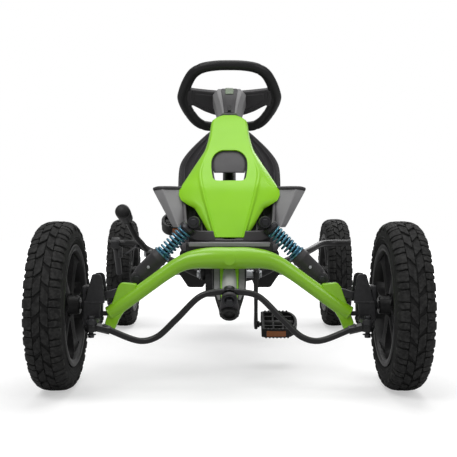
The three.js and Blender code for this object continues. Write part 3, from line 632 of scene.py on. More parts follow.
# ---------------------------------------------------------------- wheels
TREAD_PROFILE = ((175.8, 0), (175.5, 10), (174.4, 19), (171.4, 27), (166.5, 33.2),
                 (159.4, 36.5), (150, 37.6))


def on_tread(run):
    """The point and outward normal of the carcass at a run from the crown's middle."""
    for (r0, z0), (r1, z1) in zip(TREAD_PROFILE, TREAD_PROFILE[1:]):
        length = math.hypot(r1 - r0, z1 - z0)
        if run <= length or (r1, z1) == TREAD_PROFILE[-1]:
            t = run / length
            return (r0 + (r1 - r0) * t, z0 + (z1 - z0) * t), ((z1 - z0) / length,
                                                               (r0 - r1) / length)
        run -= length


def lug(shape, stations, side, place):
    """A rubber block lofted along the profile, from stations of (run, angles, height)."""
    first, last = stations[0], stations[-1]
    stations = [(first[0] - 0.8, first[1] + 0.2, first[2] - 0.2, first[3] - 1.0), *stations,
                (last[0] + 0.8, last[1] + 0.2, last[2] - 0.2, last[3] - 1.0)]
    rings = []
    for run, start, end, height in stations:
        (r, z), (nr, nz) = on_tread(max(0, run))
        ring = []
        for angle, rise in ((start, -2), (start, height - 0.9), (start + 0.35, height),
                            (end - 0.35, height), (end, height - 0.9), (end, -2)):
            turn = math.radians(angle)
            radius = r + nr * rise
            ring.append((radius * math.cos(turn), radius * math.sin(turn),
                         side * (z + nz * rise)))
        rings.append(ring)
    shape.add(*lofted(rings), place)


def tyre(end, side, sign, body):
    centre = WHEELS[end, side]
    place = axis_place(centre, (sign, 0, 0))
    shape = Shape()
    half = [(127, 25), (129, 31), (134, 35), (142, 37.3), (150, 37.6)]
    half += [(r, z) for r, z in reversed(TREAD_PROFILE[:-1])]
    profile = half[:-1] + [TREAD_PROFILE[0]] + [(r, -z) for r, z in reversed(half[:-1])]
    shape.add(*turned(profile, 120, closed=True), place)
    for ring_radius, rise in ((141, 37.2), (146.5, 37.6)):  # two raised lines on each sidewall
        for face in (1, -1):
            bead = [(ring_radius + 1.0 * math.cos(a), face * rise + 0.8 * math.sin(a))
                    for a in (math.radians(60 * k) for k in range(6))]
            shape.add(*turned(bead, 96, closed=True), place)
    pitch = 360 / 28
    for k in range(28):
        for face, shift in ((1, 0.0), (-1, pitch / 2)):
            a = k * pitch + shift
            lug(shape, [(1.4, a + 2.4, a + 12.2, 4.2), (6.5, a + 0.6, a + 10.6, 4.2),
                        (9.5, a + 0.0, a + 8.8, 4.2), (14.6, a - 1.2, a + 7.0, 4.1)], face, place)
            lug(shape, [(16.8, a + 4.4, a + 10.8, 4.2), (20.0, a + 3.6, a + 11.0, 4.2),
                        (25.0, a + 3.8, a + 10.8, 4.2), (30.5, a + 4.0, a + 10.6, 4.4),
                        (36.5, a + 4.4, a + 10.2, 3.9), (43.0, a + 5.2, a + 9.6, 1.6)],
                face, place)
            lug(shape, [(17.2, a - 1.2, a + 2.4, 4.0), (25.0, a - 1.4, a + 2.8, 4.0),
                        (30.5, a - 1.2, a + 2.6, 4.0), (36.5, a - 0.8, a + 1.6, 3.2),
                        (40.0, a - 0.6, a + 1.2, 1.8)], face, place)
    shape.piece(f"tyre_{end}_{side}_treaded", body, node=f"tyre_{end}_{side}",
                material=TYRE_RUBBER, flat=32)


def rim(end, side, sign, body):
    place = axis_place(WHEELS[end, side], (sign, 0, 0))
    shape = Shape()
    half = [(113, 0), (113.5, 18), (116, 31), (117.5, 35.5), (121, 37.2), (127.5, 37.4),
            (130.2, 35.6), (129.6, 33), (126.6, 31), (124.8, 27), (124.4, 11), (121.5, 6)]
    profile = half + [(r, -z) for r, z in reversed(half[1:])]
    shape.add(*turned(profile, 120, closed=True), place)
    hub = [(9, -46), (17, -46), (19, -44), (20.5, -24), (24, -12), (33, -6), (36, 4), (33, 10),
           (26, 13), (23.5, 18), (22.5, 26), (20.5, 28), (9, 28)]
    shape.add(*turned(hub, 64, closed=True), place)
    stations = ((28, 15, 3), (40, 15.5, 2.5), (55, 14.5, 1.5), (72, 14.5, 0.5), (88, 17.5, -0.5),
                (100, 23, -1), (108, 31, -1.5), (114, 42, -2))
    for k in range(5):
        spin = math.radians(72 * k + 18)
        rings = []
        for r, w, z in stations:
            lip = min(4.0, 1.5 + (118 - r) * 0.05)
            section = ((-w, z - 29), (-w, z + 7), (-w + 1.5, z + 9), (-w + lip, z + 9),
                       (-w + lip + 2.5, z + 4), (0, z + 3.2), (w - lip - 2.5, z + 4),
                       (w - lip, z + 9), (w - 1.5, z + 9), (w, z + 7), (w, z - 29),
                       (w - lip - 1, z - 28), (0, z - 23), (-w + lip + 1, z - 28))
            rings.append([Matrix.Rotation(spin, 4, "Z") @ Vector(
                (math.sqrt(max(r * r - t * t, 1)), t, h)) for t, h in section])
        shape.add(*lofted(rings), place)
        rib = [Matrix.Rotation(spin, 4, "Z") @ Vector(p)
               for p in ((30, 0, 7), (60, 0, 6), (98, 0, 3))]
        shape.add(*swept(rib, 2.2, 10), place)
    for k in range(5):
        angle = math.radians(72 * k + 54)
        spot = place @ Vector((29 * math.cos(angle), 29 * math.sin(angle), 9))
        bolt_shape(shape, spot, (sign, 0, 0), 3.4, 3, washer=False)
    shape.piece(f"rim_{end}_{side}_spoked", body, node=f"rim_{end}_{side}",
                material=RIM_PLASTIC, flat=38)

    stem = Shape()
    angle = math.radians(54)
    foot = Vector((114 * math.cos(angle), 114 * math.sin(angle), 20))
    inward = Vector((-math.cos(angle), -math.sin(angle), 0.55)).normalized()
    stem.add(*turned([(0, 0), (4.2, 0), (4.2, 6), (2.6, 8), (2.6, 18), (3.6, 18.4), (3.6, 25),
                      (2.4, 26), (0, 26)], 20), place @ axis_place(foot, inward))
    stem.piece(f"valve_{end}_{side}", body, material=GRIP_RUBBER, slot="rim_plastic", flat=38)

    nut = Shape()
    nut_low, nut_high = (28.4, 36) if end == "front" else (28.4, 35.5)
    face = place @ Vector((0, 0, nut_low))
    nut.add(*turned([(0, 0), (15.5, 0), (16, 0.6), (15.5, 1.8), (0, 1.8)], 32),
            axis_place(face, (sign, 0, 0)))
    nut.add(*slab(rounded([(12.5 * math.cos(math.radians(60 * k)),
                            12.5 * math.sin(math.radians(60 * k))) for k in range(6)], 1, 2),
                  1.8, nut_high - nut_low - 1, inset=1.0), axis_place(face, (sign, 0, 0)))
    nut.add(*turned([(0, 2), (8, 2), (8, nut_high - nut_low), (7, nut_high - nut_low + 1),
                     (0, nut_high - nut_low + 1)], 28), axis_place(face, (sign, 0, 0)))
    owner = f"knuckle_{side}" if end == "front" else body
    holder = f"hub_nut_{side}" if end == "front" else None
    nut.piece(f"axle_nut_{end}_{side}", owner, node=holder, material=DARK_STEEL, flat=30)


for wheel_end in ("front", "rear"):
    for wheel_side, sign in LEFT_AND_RIGHT:
        if wheel_end == "front":
            rider = f"front_wheel_{wheel_side}"
        else:
            rider = "rear_axle" if wheel_side == "left" else "rear_wheel_right"
        tyre(wheel_end, wheel_side, sign, rider)
        rim(wheel_end, wheel_side, sign, rider)


# ---------------------------------------------------------------- front axle and knuckles
def mirrored(points):
    return [Vector((-p[0], p[1], p[2])) for p in reversed(points)]


def tube_with_axis(origin, direction, outer, low, high, bore=0.0, edge=1.2, sides=40):
    """A turned boss or bush with rounded rims, along a direction."""
    inner = bore if bore else 0.01
    profile = [(inner, low), (outer - edge, low), (outer - edge * 0.3, low + edge * 0.3),
               (outer, low + edge), (outer, high - edge), (outer - edge * 0.3, high - edge * 0.3),
               (outer - edge, high), (inner, high)]
    points, faces = turned(profile, sides, closed=True)
    place = axis_place(origin, direction)
    return [place @ Vector(p) for p in points], faces


def weld_bead(shape, centre, direction, radius, width=2.2, sides=72, squash=1.0):
    """A rippled weld round a joint."""
    place = axis_place(centre, direction)
    ring = []
    for k in range(sides):
        angle = 2 * math.pi * k / sides
        swell = 1 + 0.045 * math.sin(angle * 17)
        ring.append(place @ Vector((radius * swell * math.cos(angle),
                                    radius * swell * math.sin(angle) * squash, 0)))
    shape.add(*swept(ring, width, 8, closed=True))


def arched_axle():
    shape, links = Shape(), Shape()
    # x, z and radius along one half: full at the crown and drawn thinner down the slopes
    half = [(254.4, 164, 15.5), (237.4, 175.8, 15.5), (170.7, 223.7, 15), (133.7, 250.2, 15.4),
            (104.2, 268.6, 17), (76.7, 277.8, 20), (40, 281, 22.8)]
    half_path = smooth_path([Vector(p) for p in half + [(0, 280.5, 23.5), (-40, 281, 22.8)]], 7)
    half_path = [p for p in half_path if p.x > 1]
    whole = half_path + [Vector((0, 280.5, 23.5))] + [
        Vector((-p.x, p.y, p.z)) for p in reversed(half_path)]
    shape.add(*swept([Vector((p.x, FRONT_Y, p.y)) for p in whole],
                     lambda t: whole[round(t * (len(whole) - 1))].z, 48,
                     round_ends=0))
    for side in (1, -1):
        end = Vector((side * 255.2, FRONT_Y, 163.4))
        outward = Vector((side * 23, 0, -16)).normalized()
        shape.add(*tube_with_axis(end, outward, 15.9, -2, 2.5, 0, 1.6, 48))
        plate = rounded([(197, 226), (230, 229), (237, 222), (266, 143), (264, 130), (254, 123),
                         (245, 128), (236, 150), (206, 196)], 5)
        place = Matrix.Translation((0, FRONT_Y, 0)) @ UPRIGHT
        shape.add(*slab([(side * x, z) for x, z in plate], -9, 9, place, inset=1.6))
        for arm in ([(232, 214), (241, 216), (277, 206), (277, 192), (240, 196)],
                    [(250, 167), (277, 167), (277, 158), (250, 158)]):
            links.add(*slab([(side * x, z) for x, z in rounded(arm, 2)], -7, 7, place, inset=1.0))
        links.add(*tube_with_axis((side * KINGPIN_X, FRONT_Y, 157), (0, 0, 1), 13.5, 0, 56, 6.4,
                                  1.5))
        foot = SHOCK_FOOT
        block = rounded([(188, 204), (192, 240), (199, 247), (207, 247), (213, 240), (216, 206),
                         (204, 192)], 4)
        place = Matrix.Translation((0, FRONT_Y + 69.5, 0)) @ UPRIGHT
        shape.add(*slab([(side * x, z) for x, z in block], -2.5, 2.5, place, inset=1.0))
        shape.add(*tube_with_axis((side * foot.x, FRONT_Y, foot.z), (0, 1, 0), 6, 31, 74, 0, 0.8))
        rail = [Vector((side * 190, FRONT_Y + 12, 200)), Vector((side * 201, FRONT_Y + 68, 206))]
        shape.add(*swept(rail, 7, 16))
    shape.add(*tube_with_axis((0, FRONT_Y, PIVOT_Z), (0, 1, 0), 18, 10, 27, 8.3, 1.6, 48))
    weld_bead(shape, (0, FRONT_Y + 24, PIVOT_Z), (0, 1, 0), 18.6, 1.8)
    shape.piece("arched_axle", "front_axle", node="front_axle", material=AXLE_GREEN, flat=40)
    links.piece("axle_end_links", "front_axle", material=CAST_GREY, flat=40)

    bolts = Shape()
    for side in (1, -1):
        bolt_shape(bolts, (side * SHOCK_FOOT.x, FRONT_Y + 33.5, SHOCK_FOOT.z), (0, -1, 0), 7, 4)
        bolt_shape(bolts, (side * SHOCK_FOOT.x, FRONT_Y + 72, SHOCK_FOOT.z), (0, 1, 0), 7.5, 6)
    bolts.piece("shock_foot_bolts", "front_axle", material=DARK_STEEL, flat=30)

    for side, sign in LEFT_AND_RIGHT:
        pin = Shape()
        pin.add(*tube_with_axis((sign * KINGPIN_X, FRONT_Y, 142), (0, 0, 1), 6, 0, 86, 0, 0.8))
        bolt_shape(pin, (sign * KINGPIN_X, FRONT_Y, 222.5), (0, 0, 1), 10, 7)
        bolt_shape(pin, (sign * KINGPIN_X, FRONT_Y, 147.5), (0, 0, -1), 9, 7)
        pin.piece(f"kingpin_bolt_{side}", "front_axle", node=f"kingpin_{side}",
                  material=DARK_STEEL, flat=30)


def knuckle(side, sign):
    shape = Shape()
    centre = Vector((sign * KINGPIN_X, FRONT_Y, 0))
    for low, high in ((148, 156), (214, 222)):
        outline = [(16 * math.cos(a), 16 * math.sin(a))
                   for a in (math.radians(d) for d in range(90, 271, 12))]
        outline += [(6, -17), (18, -18), (27, -18), (27, 18), (18, 18), (6, 17)]
        shape.add(*slab([(sign * x + centre.x, y + centre.y) for x, y in outline], low, high,
                        inset=1.2))
    web = rounded([(-19, 147), (-19, 223), (19, 223), (19, 147)], 5)
    turn = Matrix(((0, 0, 1, 0), (1, 0, 0, 0), (0, 1, 0, 0), (0, 0, 0, 1)))
    place = Matrix.Translation((centre.x + sign * 22, centre.y, 0)) @ turn
    shape.add(*slab(web, -4.5, 4.5, place, inset=1.2))
    shape.add(*tube_with_axis((sign * 307, FRONT_Y, WHEEL_RADIUS), (sign, 0, 0), 17, 0, 6, 0, 1.5))
    weld_bead(shape, (sign * 313, FRONT_Y, WHEEL_RADIUS), (1, 0, 0), 11, 2.2)
    shape.add(*tube_with_axis((sign * 307, FRONT_Y, WHEEL_RADIUS), (sign, 0, 0), 8, 0, 94, 0, 1.2))
    for front in (-24, 18):  # the two cheeks of the bracket round the kingpin
        flat = Matrix.Translation((0, FRONT_Y, 0)) @ UPRIGHT
        cheek = rounded([(263, 190), (270, 244), (276, 249), (290, 248), (304, 196), (309, 188),
                         (309, 142), (300, 132), (284, 131), (274, 140), (273, 186)], 4)
        shape.add(*slab([(sign * x, z) for x, z in cheek], -front - 6, -front, flat, inset=1.2))
        rib = [(264, 187), (306, 187), (306, 191), (264, 191)]
        shape.add(*slab([(sign * x, z) for x, z in rib], -front - 7.5 if front > 0 else -front - 6,
                        -front if front > 0 else -front + 1.5, flat, inset=0.4))
    for brace in (-1, 1):
        rib = [(0, 9), (26, 9), (26, 30), (0, 20)]
        if brace < 0:
            rib = [(x, -y) for x, y in rib]
        flat = Matrix.Translation((sign * 284, FRONT_Y, WHEEL_RADIUS)) @ UPRIGHT
        shape.add(*slab([(sign * x, z) for x, z in rib], -2, 2, flat, inset=0.6))
    arm = rounded([(-11, 6), (11, 6), (12, -50), (11, -64), (5, -78), (-5, -78), (-11, -66),
                   (-12, -50)], 5)
    shape.add(*slab([(x * sign + centre.x, y + FRONT_Y) for x, y in arm], 148, 156.2, inset=1.2))
    shape.add(*tube_with_axis((centre.x, FRONT_Y - 66.4, 146), (0, 0, 1), 12.5, 0, 12, 0, 1.5))
    shape.add(*tube_with_axis((centre.x, FRONT_Y - 66.4, 120), (0, 0, 1), 5, 0, 42, 0, 0.8))
    shape.piece(f"steering_knuckle_{side}", f"knuckle_{side}", node=f"knuckle_{side}",
                material=CAST_GREY, flat=40)
    nut = Shape()
    spot = (centre.x, FRONT_Y - 66.4, 158)
    bolt_shape(nut, spot, (0, 0, 1), 7.5, 6)
    bolt_shape(nut, (centre.x, FRONT_Y - 66.4, 127.5), (0, 0, -1), 7, 6)
    nut.piece(f"tie_rod_end_nuts_{side}", f"knuckle_{side}", material=DARK_STEEL, flat=30)


arched_axle()
for wheel_side, sign in LEFT_AND_RIGHT:
    knuckle(wheel_side, sign)


# ---------------------------------------------------------------- tie rod and steering gear
def column_point(x, up, depth):
    """A point by the column: x across, up towards the top of the wheel, depth along it."""
    return COLUMN @ Vector((x, -up, depth))


def tie_rod():
    middle = column_point(0, PITMAN_RADIUS, -TIE_ROD_DEPTH)
    y = FRONT_Y - 66.4
    half = [(33, 0), (60, -8), (110, -56), (150, -92), (182, -100), (236, -82)]
    right = [Vector((x, y, middle.z + dz)) for x, dz in half] + [Vector((262, y, 144))]
    shape = Shape()
    route = mirrored(right)[:-1] + [Vector((-33, y, middle.z)), Vector((33, y, middle.z))]
    route += right[1:]
    shape.add(*swept(smooth_path(route, 6), 6.6, 24, round_ends=1))
    for side in (1, -1):
        eye = Vector((side * KINGPIN_X, y, 140))
        shape.add(*tube_with_axis(eye, (0, 0, 1), 14.5, -7, 7, 9.6, 2.2))
        sleeve = smooth_path([Vector((side * 246, y, middle.z - 78)),
                              Vector((side * 274, y, 142))], 6)
        shape.add(*swept(sleeve, 9, 6, round_ends=1))
        ball = [(9.6 * math.sin(a), 9.6 * math.cos(a))
                for a in (math.radians(d) for d in range(35, 146, 10))]
        points, faces = turned([(5.1, 8)] + ball + [(5.1, -8)], 32)
        shape.add([Vector(p) + eye for p in points], faces)
    down = COLUMN.to_3x3() @ Vector((0, 0, 1))
    shape.add(*tube_with_axis(middle, down, 13, -4, 9, 0, 1.6))
    shape.add(*tube_with_axis(middle, down, 5, -31, 8, 0, 0.8))
    shape.piece("tie_rod_bent", "tie_rod", node="tie_rod", material=FRAME_BLACK, flat=40)
    nut = Shape()
    bolt_shape(nut, column_point(0, PITMAN_RADIUS, -788.5), -down, 10.5, 7.5)
    nut.piece("tie_rod_lock_nut", "tie_rod", node="tie_rod_nut", material=DARK_STEEL, flat=30)


def steering_gear():
    shape = Shape()
    arm_low, arm_high = -785, -777
    bush_low, bush_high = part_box("pitman_bush")
    bush = COLUMN.inverted() @ ((bush_low + bush_high) / 2 / MM)
    away = Vector((bush.x, bush.y, 0))
    turn = math.atan2(away.y, away.x)
    outline = [(away.length + 16 * math.cos(a), 16 * math.sin(a))
               for a in (math.radians(d) for d in range(-82, 83, 12))]
    outline += [(22 * math.cos(a), 22 * math.sin(a))
                for a in (math.radians(d) for d in range(98, 263, 12))]
    place = COLUMN @ Matrix.Rotation(turn, 4, "Z")
    shape.add(*slab(outline, arm_low, arm_high, place, inset=1.6))
    axis = COLUMN.to_3x3() @ Vector((0, 0, 1))
    shape.add(*tube_with_axis(COLUMN @ Vector((0, 0, -777)), axis, 16, 0, 26, 0, 1.6))
    shape.piece("pitman_arm_forged", "steering", node="pitman_arm", material=DARK_PLASTIC,
                slot="cast_grey", flat=40)
    socket = Shape()
    socket.add(*turned([(12, -3), (12, 6), (13, 7), (17.4, 7), (18.4, 6), (18.4, 0), (18.4, -3)],
                       40, closed=True), axis_place(COLUMN @ Vector((0, 0, -785)), -axis))
    socket.add(*turned([(0, 0), (12.2, 0), (12.2, 1.4), (6, 1.4), (5, 2.4), (0, 2.4)], 32),
               axis_place(COLUMN @ Vector((0, 0, -785)), -axis))
    socket.piece("column_foot_socket", "steering", material=BLACK_PLASTIC, flat=35)
    rubber = Shape()
    rubber.add(*tube_with_axis(COLUMN @ Vector((bush.x, bush.y, -781)), axis, 13.6, -5.2, 5.2,
                               5.4, 1.8))
    rubber.piece("pitman_rubber_bush", "steering", node="pitman_bush", material=GRIP_RUBBER,
                 flat=45)


tie_rod()
steering_gear()


# ---------------------------------------------------------------- shock absorbers
def coil(radius, wire, start, stop, turns, sides=12, steps=26):
    """A spring whose end coils lie flat."""
    path = []
    count = int(turns * steps)
    for i in range(count + 1):
        t = i / count
        flat = 1.0 / turns
        if t < flat:
            rise = 0.5 * t * t / flat
        elif t > 1 - flat:
            rise = (1 - flat) - 0.5 * (1 - t) ** 2 / flat
        else:
            rise = t - flat / 2
        rise /= 1 - flat
        angle = 2 * math.pi * turns * t
        path.append((radius * math.cos(angle), radius * math.sin(angle),
                     start + (stop - start) * rise))
    return swept(path, wire, sides, round_ends=0.6)


def shock(side, sign):
    foot = Vector((sign * SHOCK_FOOT.x, SHOCK_FOOT.y, SHOCK_FOOT.z))
    top = Vector((sign * SHOCK_TOP.x, SHOCK_TOP.y, SHOCK_TOP.z))
    along = (top - foot).normalized()
    place = axis_place(foot, along)
    across = Vector((0, 1, 0))

    lower = Shape()
    lower.add(*turned([(0, -11), (9, -11), (13, -8), (16, 2), (19.4, 17), (19.4, 58), (20.6, 60),
                       (20.6, 64), (19.6, 66), (19.6, 73), (18, 76), (9, 76), (8.5, 72),
                       (8.5, 30), (0, 30)], 48), place)
    lower.add(*tube_with_axis(foot, across, 15, -14, 14, 9, 2.0))
    lower.piece(f"shock_body_{side}", f"shock_lower_{side}", node=f"shock_tube_{side}",
                material=DARK_PLASTIC, slot="cast_grey", flat=40)
    screw = Shape()
    front = Vector((0, -1, 0))
    front = (front - along * front.dot(along)).normalized()
    bolt_shape(screw, place @ Vector((0, 0, 36)) + front * 19, front, 3.6, 2.4, washer=False)
    screw.piece(f"shock_screw_{side}", f"shock_lower_{side}", material=STEEL, flat=30)

    upper = Shape()
    upper.add(*turned([(0, 41), (5.4, 41), (6, 42), (6, 150), (17, 150.4), (19.2, 151.6),
                       (19.2, 158), (17.5, 160.5), (9, 162), (8, 170), (0, 170)], 40), place)
    upper.add(*tube_with_axis(top, across, 13.2, -12, 12, 6.9, 2.0))
    upper.add(*turned([(6.2, 148), (16, 148), (16.5, 150), (6.2, 150.5)], 40, closed=True), place)
    upper.piece(f"shock_piston_{side}", f"shock_upper_{side}", node=f"shock_rod_{side}",
                material=DARK_STEEL, slot="cast_grey", flat=40)

    wound = Shape()
    wound.add(*coil(14.6, 2.7, 80.5, 147.5, 8.6), place)
    ends = (place @ Vector((0, 0, 147))) * MM, (place @ Vector((0, 0, 81))) * MM
    wound.piece(f"coil_spring_{side}", (f"shock_upper_{side}", f"shock_lower_{side}", *ends),
                node=f"spring_{side}", material=SPRING_BLUE)
    seat = Shape()
    seat.add(*turned([(6.4, 74), (19.4, 74), (20.8, 75), (20.8, 77.4), (19.5, 78.2), (12, 78.2),
                      (11, 82), (6.4, 82)], 40, closed=True), place)
    seat.piece(f"spring_seat_{side}", f"shock_lower_{side}", material=SPRING_BLUE, flat=35)
    cap = Shape()
    for offset in (-24, 22):
        bolt_shape(cap, top + Vector((0, offset, 0)), (0, -1 if offset < 0 else 1, 0), 8.5, 6.5)
    cap.piece(f"shock_top_bolt_{side}", "chassis", material=DARK_STEEL, flat=30)


for wheel_side, sign in LEFT_AND_RIGHT:
    shock(wheel_side, sign)


# ---------------------------------------------------------------- body panels
def along_line(line, z):
    """Y on a sheet's side line of (Y, Z) at a height."""
    points = sorted(line, key=lambda p: p[1])
    if z <= points[0][1]:
        return points[0][0]
    for (y0, z0), (y1, z1) in zip(points, points[1:]):
        if z <= z1:
            return y0 + (y1 - y0) * (z - z0) / (z1 - z0)
    return points[-1][0]


BONNET_LINE = ((-88, 646), (-105, 632), (-165, 584), (-226, 531), (-281, 486), (-340, 438),
               (-428, 322))
# Z, half width, outer and inner side of the crease, half width of the window, sweep of the edge
BONNET_ROWS = (
    (322, 37, 33.5, 29.5, 16, 7), (338, 46, 38.5, 34, 19, 9), (356, 57, 44, 39, 23, 12),
    (374, 67, 49.5, 44, 28, 15), (390, 78, 54.5, 48.5, 31, 19), (400, 97, 57.5, 51, 33, 24),
    (409, 111, 60.5, 53.5, 34.5, 29), (420, 116.5, 63, 56, 35.5, 32),
    (431, 116, 66, 58.5, 36.5, 33), (442, 110, 68.5, 61, 37, 32), (452, 104, 71, 63.5, 37.3, 31),
    (465, 96.5, 73.5, 66, 40.5, 29), (480, 88, 72.5, 66, 43, 27), (496, 78.5, 67.5, 62, 44.5, 25),
    (512, 69.5, 61, 56.5, 42, 24), (524, 62.5, 56.5, 52.5, 34, 23), (532, 58.5, 53, 49.5, 21, 23),
    (545, 54.5, 50, 46.5, 18, 24), (565, 50, 46, 43, 17, 26), (590, 46.5, 43, 40, 16, 28),
    (610, 45.5, 42, 39, 15, 30), (619, 42.5, 39, 36, 14.5, 30), (626, 34, 31, 28, 11, 29),
    (630.5, 24, 21.5, 19, 8, 28), (632.5, 14, 12, 10, 5, 28))


def bonnet():
    shape_points = []
    columns = 19
    for z, width, outer, inner, window, sweep in BONNET_ROWS:
        y = along_line(BONNET_LINE, z)
        ridge = max(0.0, min(1.0, (512 - z) / 40))  # the crease fades out below the neck
        half = [(0, 0), (window * 0.55, 0.2), (window, 0.6), ((window + inner) / 2, 0.9),
                (inner, 1.2), ((inner + outer) / 2, 1.5 - 4.6 * ridge), (outer, 2.4 - ridge),
                ((outer + width) / 2, sweep * 0.30), (width, sweep * 0.78),
                (width - 1.5, sweep * 0.78 + 13)]
        row = [(-x, y + back, z) for x, back in reversed(half[1:])]
        row += [(x, y + back, z) for x, back in half]
        shape_points += row
    rows = len(BONNET_ROWS)
    middle = columns // 2
    faces = []
    for r in range(rows - 1):
        for c in range(columns - 1):
            in_window = middle - 2 <= c < middle + 2 and 452 <= BONNET_ROWS[r][0] < 532
            if not in_window:
                faces.append((r * columns + c, r * columns + c + 1,
                              (r + 1) * columns + c + 1, (r + 1) * columns + c))
    piece = new_piece("bonnet_shell", shape_points, faces, "chassis", node="bonnet", material=LIME)
    crease(piece, 17)
    subdivide(piece, 2)
    thicken(piece, 3.2, 1.0)
    bevel(piece, 0.8, 2, 50)


def crease(piece, angle, weight=0.75):
    """Holds the folds of a panel while it is subdivided."""
    mesh = piece.data
    work = bmesh.new()
    work.from_mesh(mesh)
    layer = work.edges.layers.float.new("crease_edge")
    limit = math.radians(angle)
    for edge in work.edges:
        if len(edge.link_faces) == 2 and edge.calc_face_angle(0) > limit:
            edge[layer] = weight
        elif len(edge.link_faces) == 1:
            edge[layer] = 0.5
    work.to_mesh(mesh)
    work.free()


def ribbon(shape, rows, line, proud=0.0, thickness=4.0, edge=1.0):
    """A flat strip down a sheet's line, from rows of (Z, x low, x high)."""
    rings = []
    for z, low, high in rows:
        y = along_line(line, z) - proud
        rings.append([Vector((low, y + thickness, z)), Vector((low, y + edge, z)),
                      Vector((low + edge, y, z)), Vector((high - edge, y, z)),
                      Vector((high, y + edge, z)), Vector((high, y + thickness, z))])
    shape.add(*lofted(rings))


def scoop():
    """The grey hood in the bonnet's window, with side walls that run down to its corners."""
    shape = Shape()
    rings = []
    for z, half, back in ((536, 22, 5), (531, 28, 4), (524, 35, 4), (512, 40.5, 4.5),
                          (496, 42, 5), (484, 39.5, 5.5), (477, 37.5, 6.5), (474.5, 36.5, 9)):
        y = along_line(BONNET_LINE, z) + back
        front = [(-half, y + 5), (-half + 3, y + 1.6), (-half + 7.5, y), (-half * 0.4, y - 1.2),
                 (0, y - 1.6), (half * 0.4, y - 1.2), (half - 7.5, y), (half - 3, y + 1.6),
                 (half, y + 5)]
        rings.append([Vector((x, yy, z)) for x, yy in front]
                     + [Vector((x, yy + 3.5, z)) for x, yy in reversed(front)])
    shape.add(*lofted(rings))
    for side in (1, -1):
        rings = []
        for z, half in ((450, 38.2), (458, 39.8), (468, 42), (480, 44), (496, 45.4), (510, 43.5)):
            y = along_line(BONNET_LINE, z) + 2.2
            rings.append([Vector((side * x, y + back, z)) for x, back in
                          ((half, 0), (half - 1.2, -0.4), (half - 5.5, 9), (half - 5.5, 16),
                           (half - 2.5, 16))])
        shape.add(*lofted(rings))
    done = shape.piece("scoop_hood", "chassis", node="scoop", material=DARK_PLASTIC, flat=30)
    bevel(done, 0.6, 2, 30)


SHROUD_LINE = ((-300, 432), (-362, 385), (-404, 350), (-433, 338), (-435, 312))


def shroud():
    path = [(109.5, 428), (109.5, 412), (107, 385), (104, 362), (101, 345), (95, 331), (86, 321.5),
            (74, 316), (58, 315), (36, 314.5), (31.5, 314.5), (0, 314)]
    path = [(-x, z) for x, z in path] + [(x, z) for x, z in reversed(path[:-1])]
    count = len(path)
    rings = []
    for i, (x, z) in enumerate(path):
        x0, z0 = path[max(0, i - 1)]
        x1, z1 = path[min(count - 1, i + 1)]
        out = Vector((z1 - z0, -(x1 - x0))).normalized()
        low = max(0.0, min(1.0, (346 - z) / 26))
        inner = (7 + 16 * low) if abs(x) > 32 else 5
        y = along_line(SHROUD_LINE, z)
        section = ((0, 1.5), (-1.5, 0), (-inner + 2, -0.5), (-inner, 1.5), (-inner, 14), (0, 26))
        rings.append([Vector((x + out.x * n, y + back, z + out.y * n))
                      for n, back in section])
    shape = Shape()
    shape.add(*lofted(rings))
    done = shape.piece("shroud_bezel", "chassis", node="shroud", material=MID_PLASTIC, flat=35)
    bevel(done, 1.0, 2, 35)

    back = Shape()
    rows = ((326, 84, 30), (336, 92, 30), (352, 98, 30), (380, 102, 26), (405, 105, 22),
            (428, 105, 18))
    rings = []
    for z, half, deep in rows:
        y = along_line(SHROUD_LINE, z) + deep
        rings.append([Vector((-half, y - 14, z)), Vector((-half + 6, y, z)),
                      Vector((half - 6, y, z)), Vector((half, y - 14, z)),
                      Vector((half + 2, y - 12, z)), Vector((half - 5, y + 3, z)),
                      Vector((-half + 5, y + 3, z)), Vector((-half - 2, y - 12, z))])
    back.add(*lofted(rings))
    for side in (1, -1):  # ribs on the wall behind the shock mounts
        for x in (62, 80):
            ribbon(back, ((330, side * x - 2, side * x + 2), (372, side * x - 2, side * x + 2),
                          (400, side * x - 2, side * x + 2)), SHROUD_LINE, -20, 14)
    back.piece("shroud_inner", "chassis", material=BLACK_PLASTIC, flat=35)


FIN_LINE = ((-318, 440), (-379, 345))


def fin(side, sign):
    shape = Shape()
    rows = ((345, 104.5, 116, 129), (352, 105, 119.5, 134), (380, 106, 132, 150.5),
            (410, 110, 146, 168), (428, 112.5, 154, 178.5), (434, 113, 156.5, 180.5))
    rings = []
    for z, low, ridge, high in rows:
        y = along_line(FIN_LINE, z)
        rings.append([Vector((sign * x, y + back, z)) for x, back in
                      ((low, 7), (low + 1.5, 4.5), (ridge - 2, -6.4), (ridge, -7),
                       (ridge + 2, -6.2), (high - 2, 5.8), (high, 7.6), (high - 1, 11),
                       (ridge, 2.5), (low + 1, 10))])
    shape.add(*lofted(rings))
    done = shape.piece(f"fin_panel_{side}", "chassis", node=f"fin_{side}", material=GREY_PLASTIC,
                       flat=12)
    bevel(done, 0.9, 2, 12)

    trim = Shape()
    y = along_line(FIN_LINE, 435)
    edge = [Vector((sign * 112, y + 8, 435.5)), Vector((sign * 132, y + 1, 436.5)),
            Vector((sign * 155, y - 4, 436.5)), Vector((sign * 170, y + 2, 436)),
            Vector((sign * 178.5, y + 7, 433.5))]
    trim.add(*swept(smooth_path(edge, 4), 4.8, 16, round_ends=1.5))
    for z in (352, 372, 392, 412):
        yy = along_line(FIN_LINE, z)
        trim.add(*swept([Vector((sign * 103, yy + 14, z)), Vector((sign * 112, yy + 12, z))],
                        3.5, 12))
    trim.piece(f"fin_trim_{side}", "chassis", material=DARK_PLASTIC)


NOSE_LINE = ((-466, 268), (-522, 158))


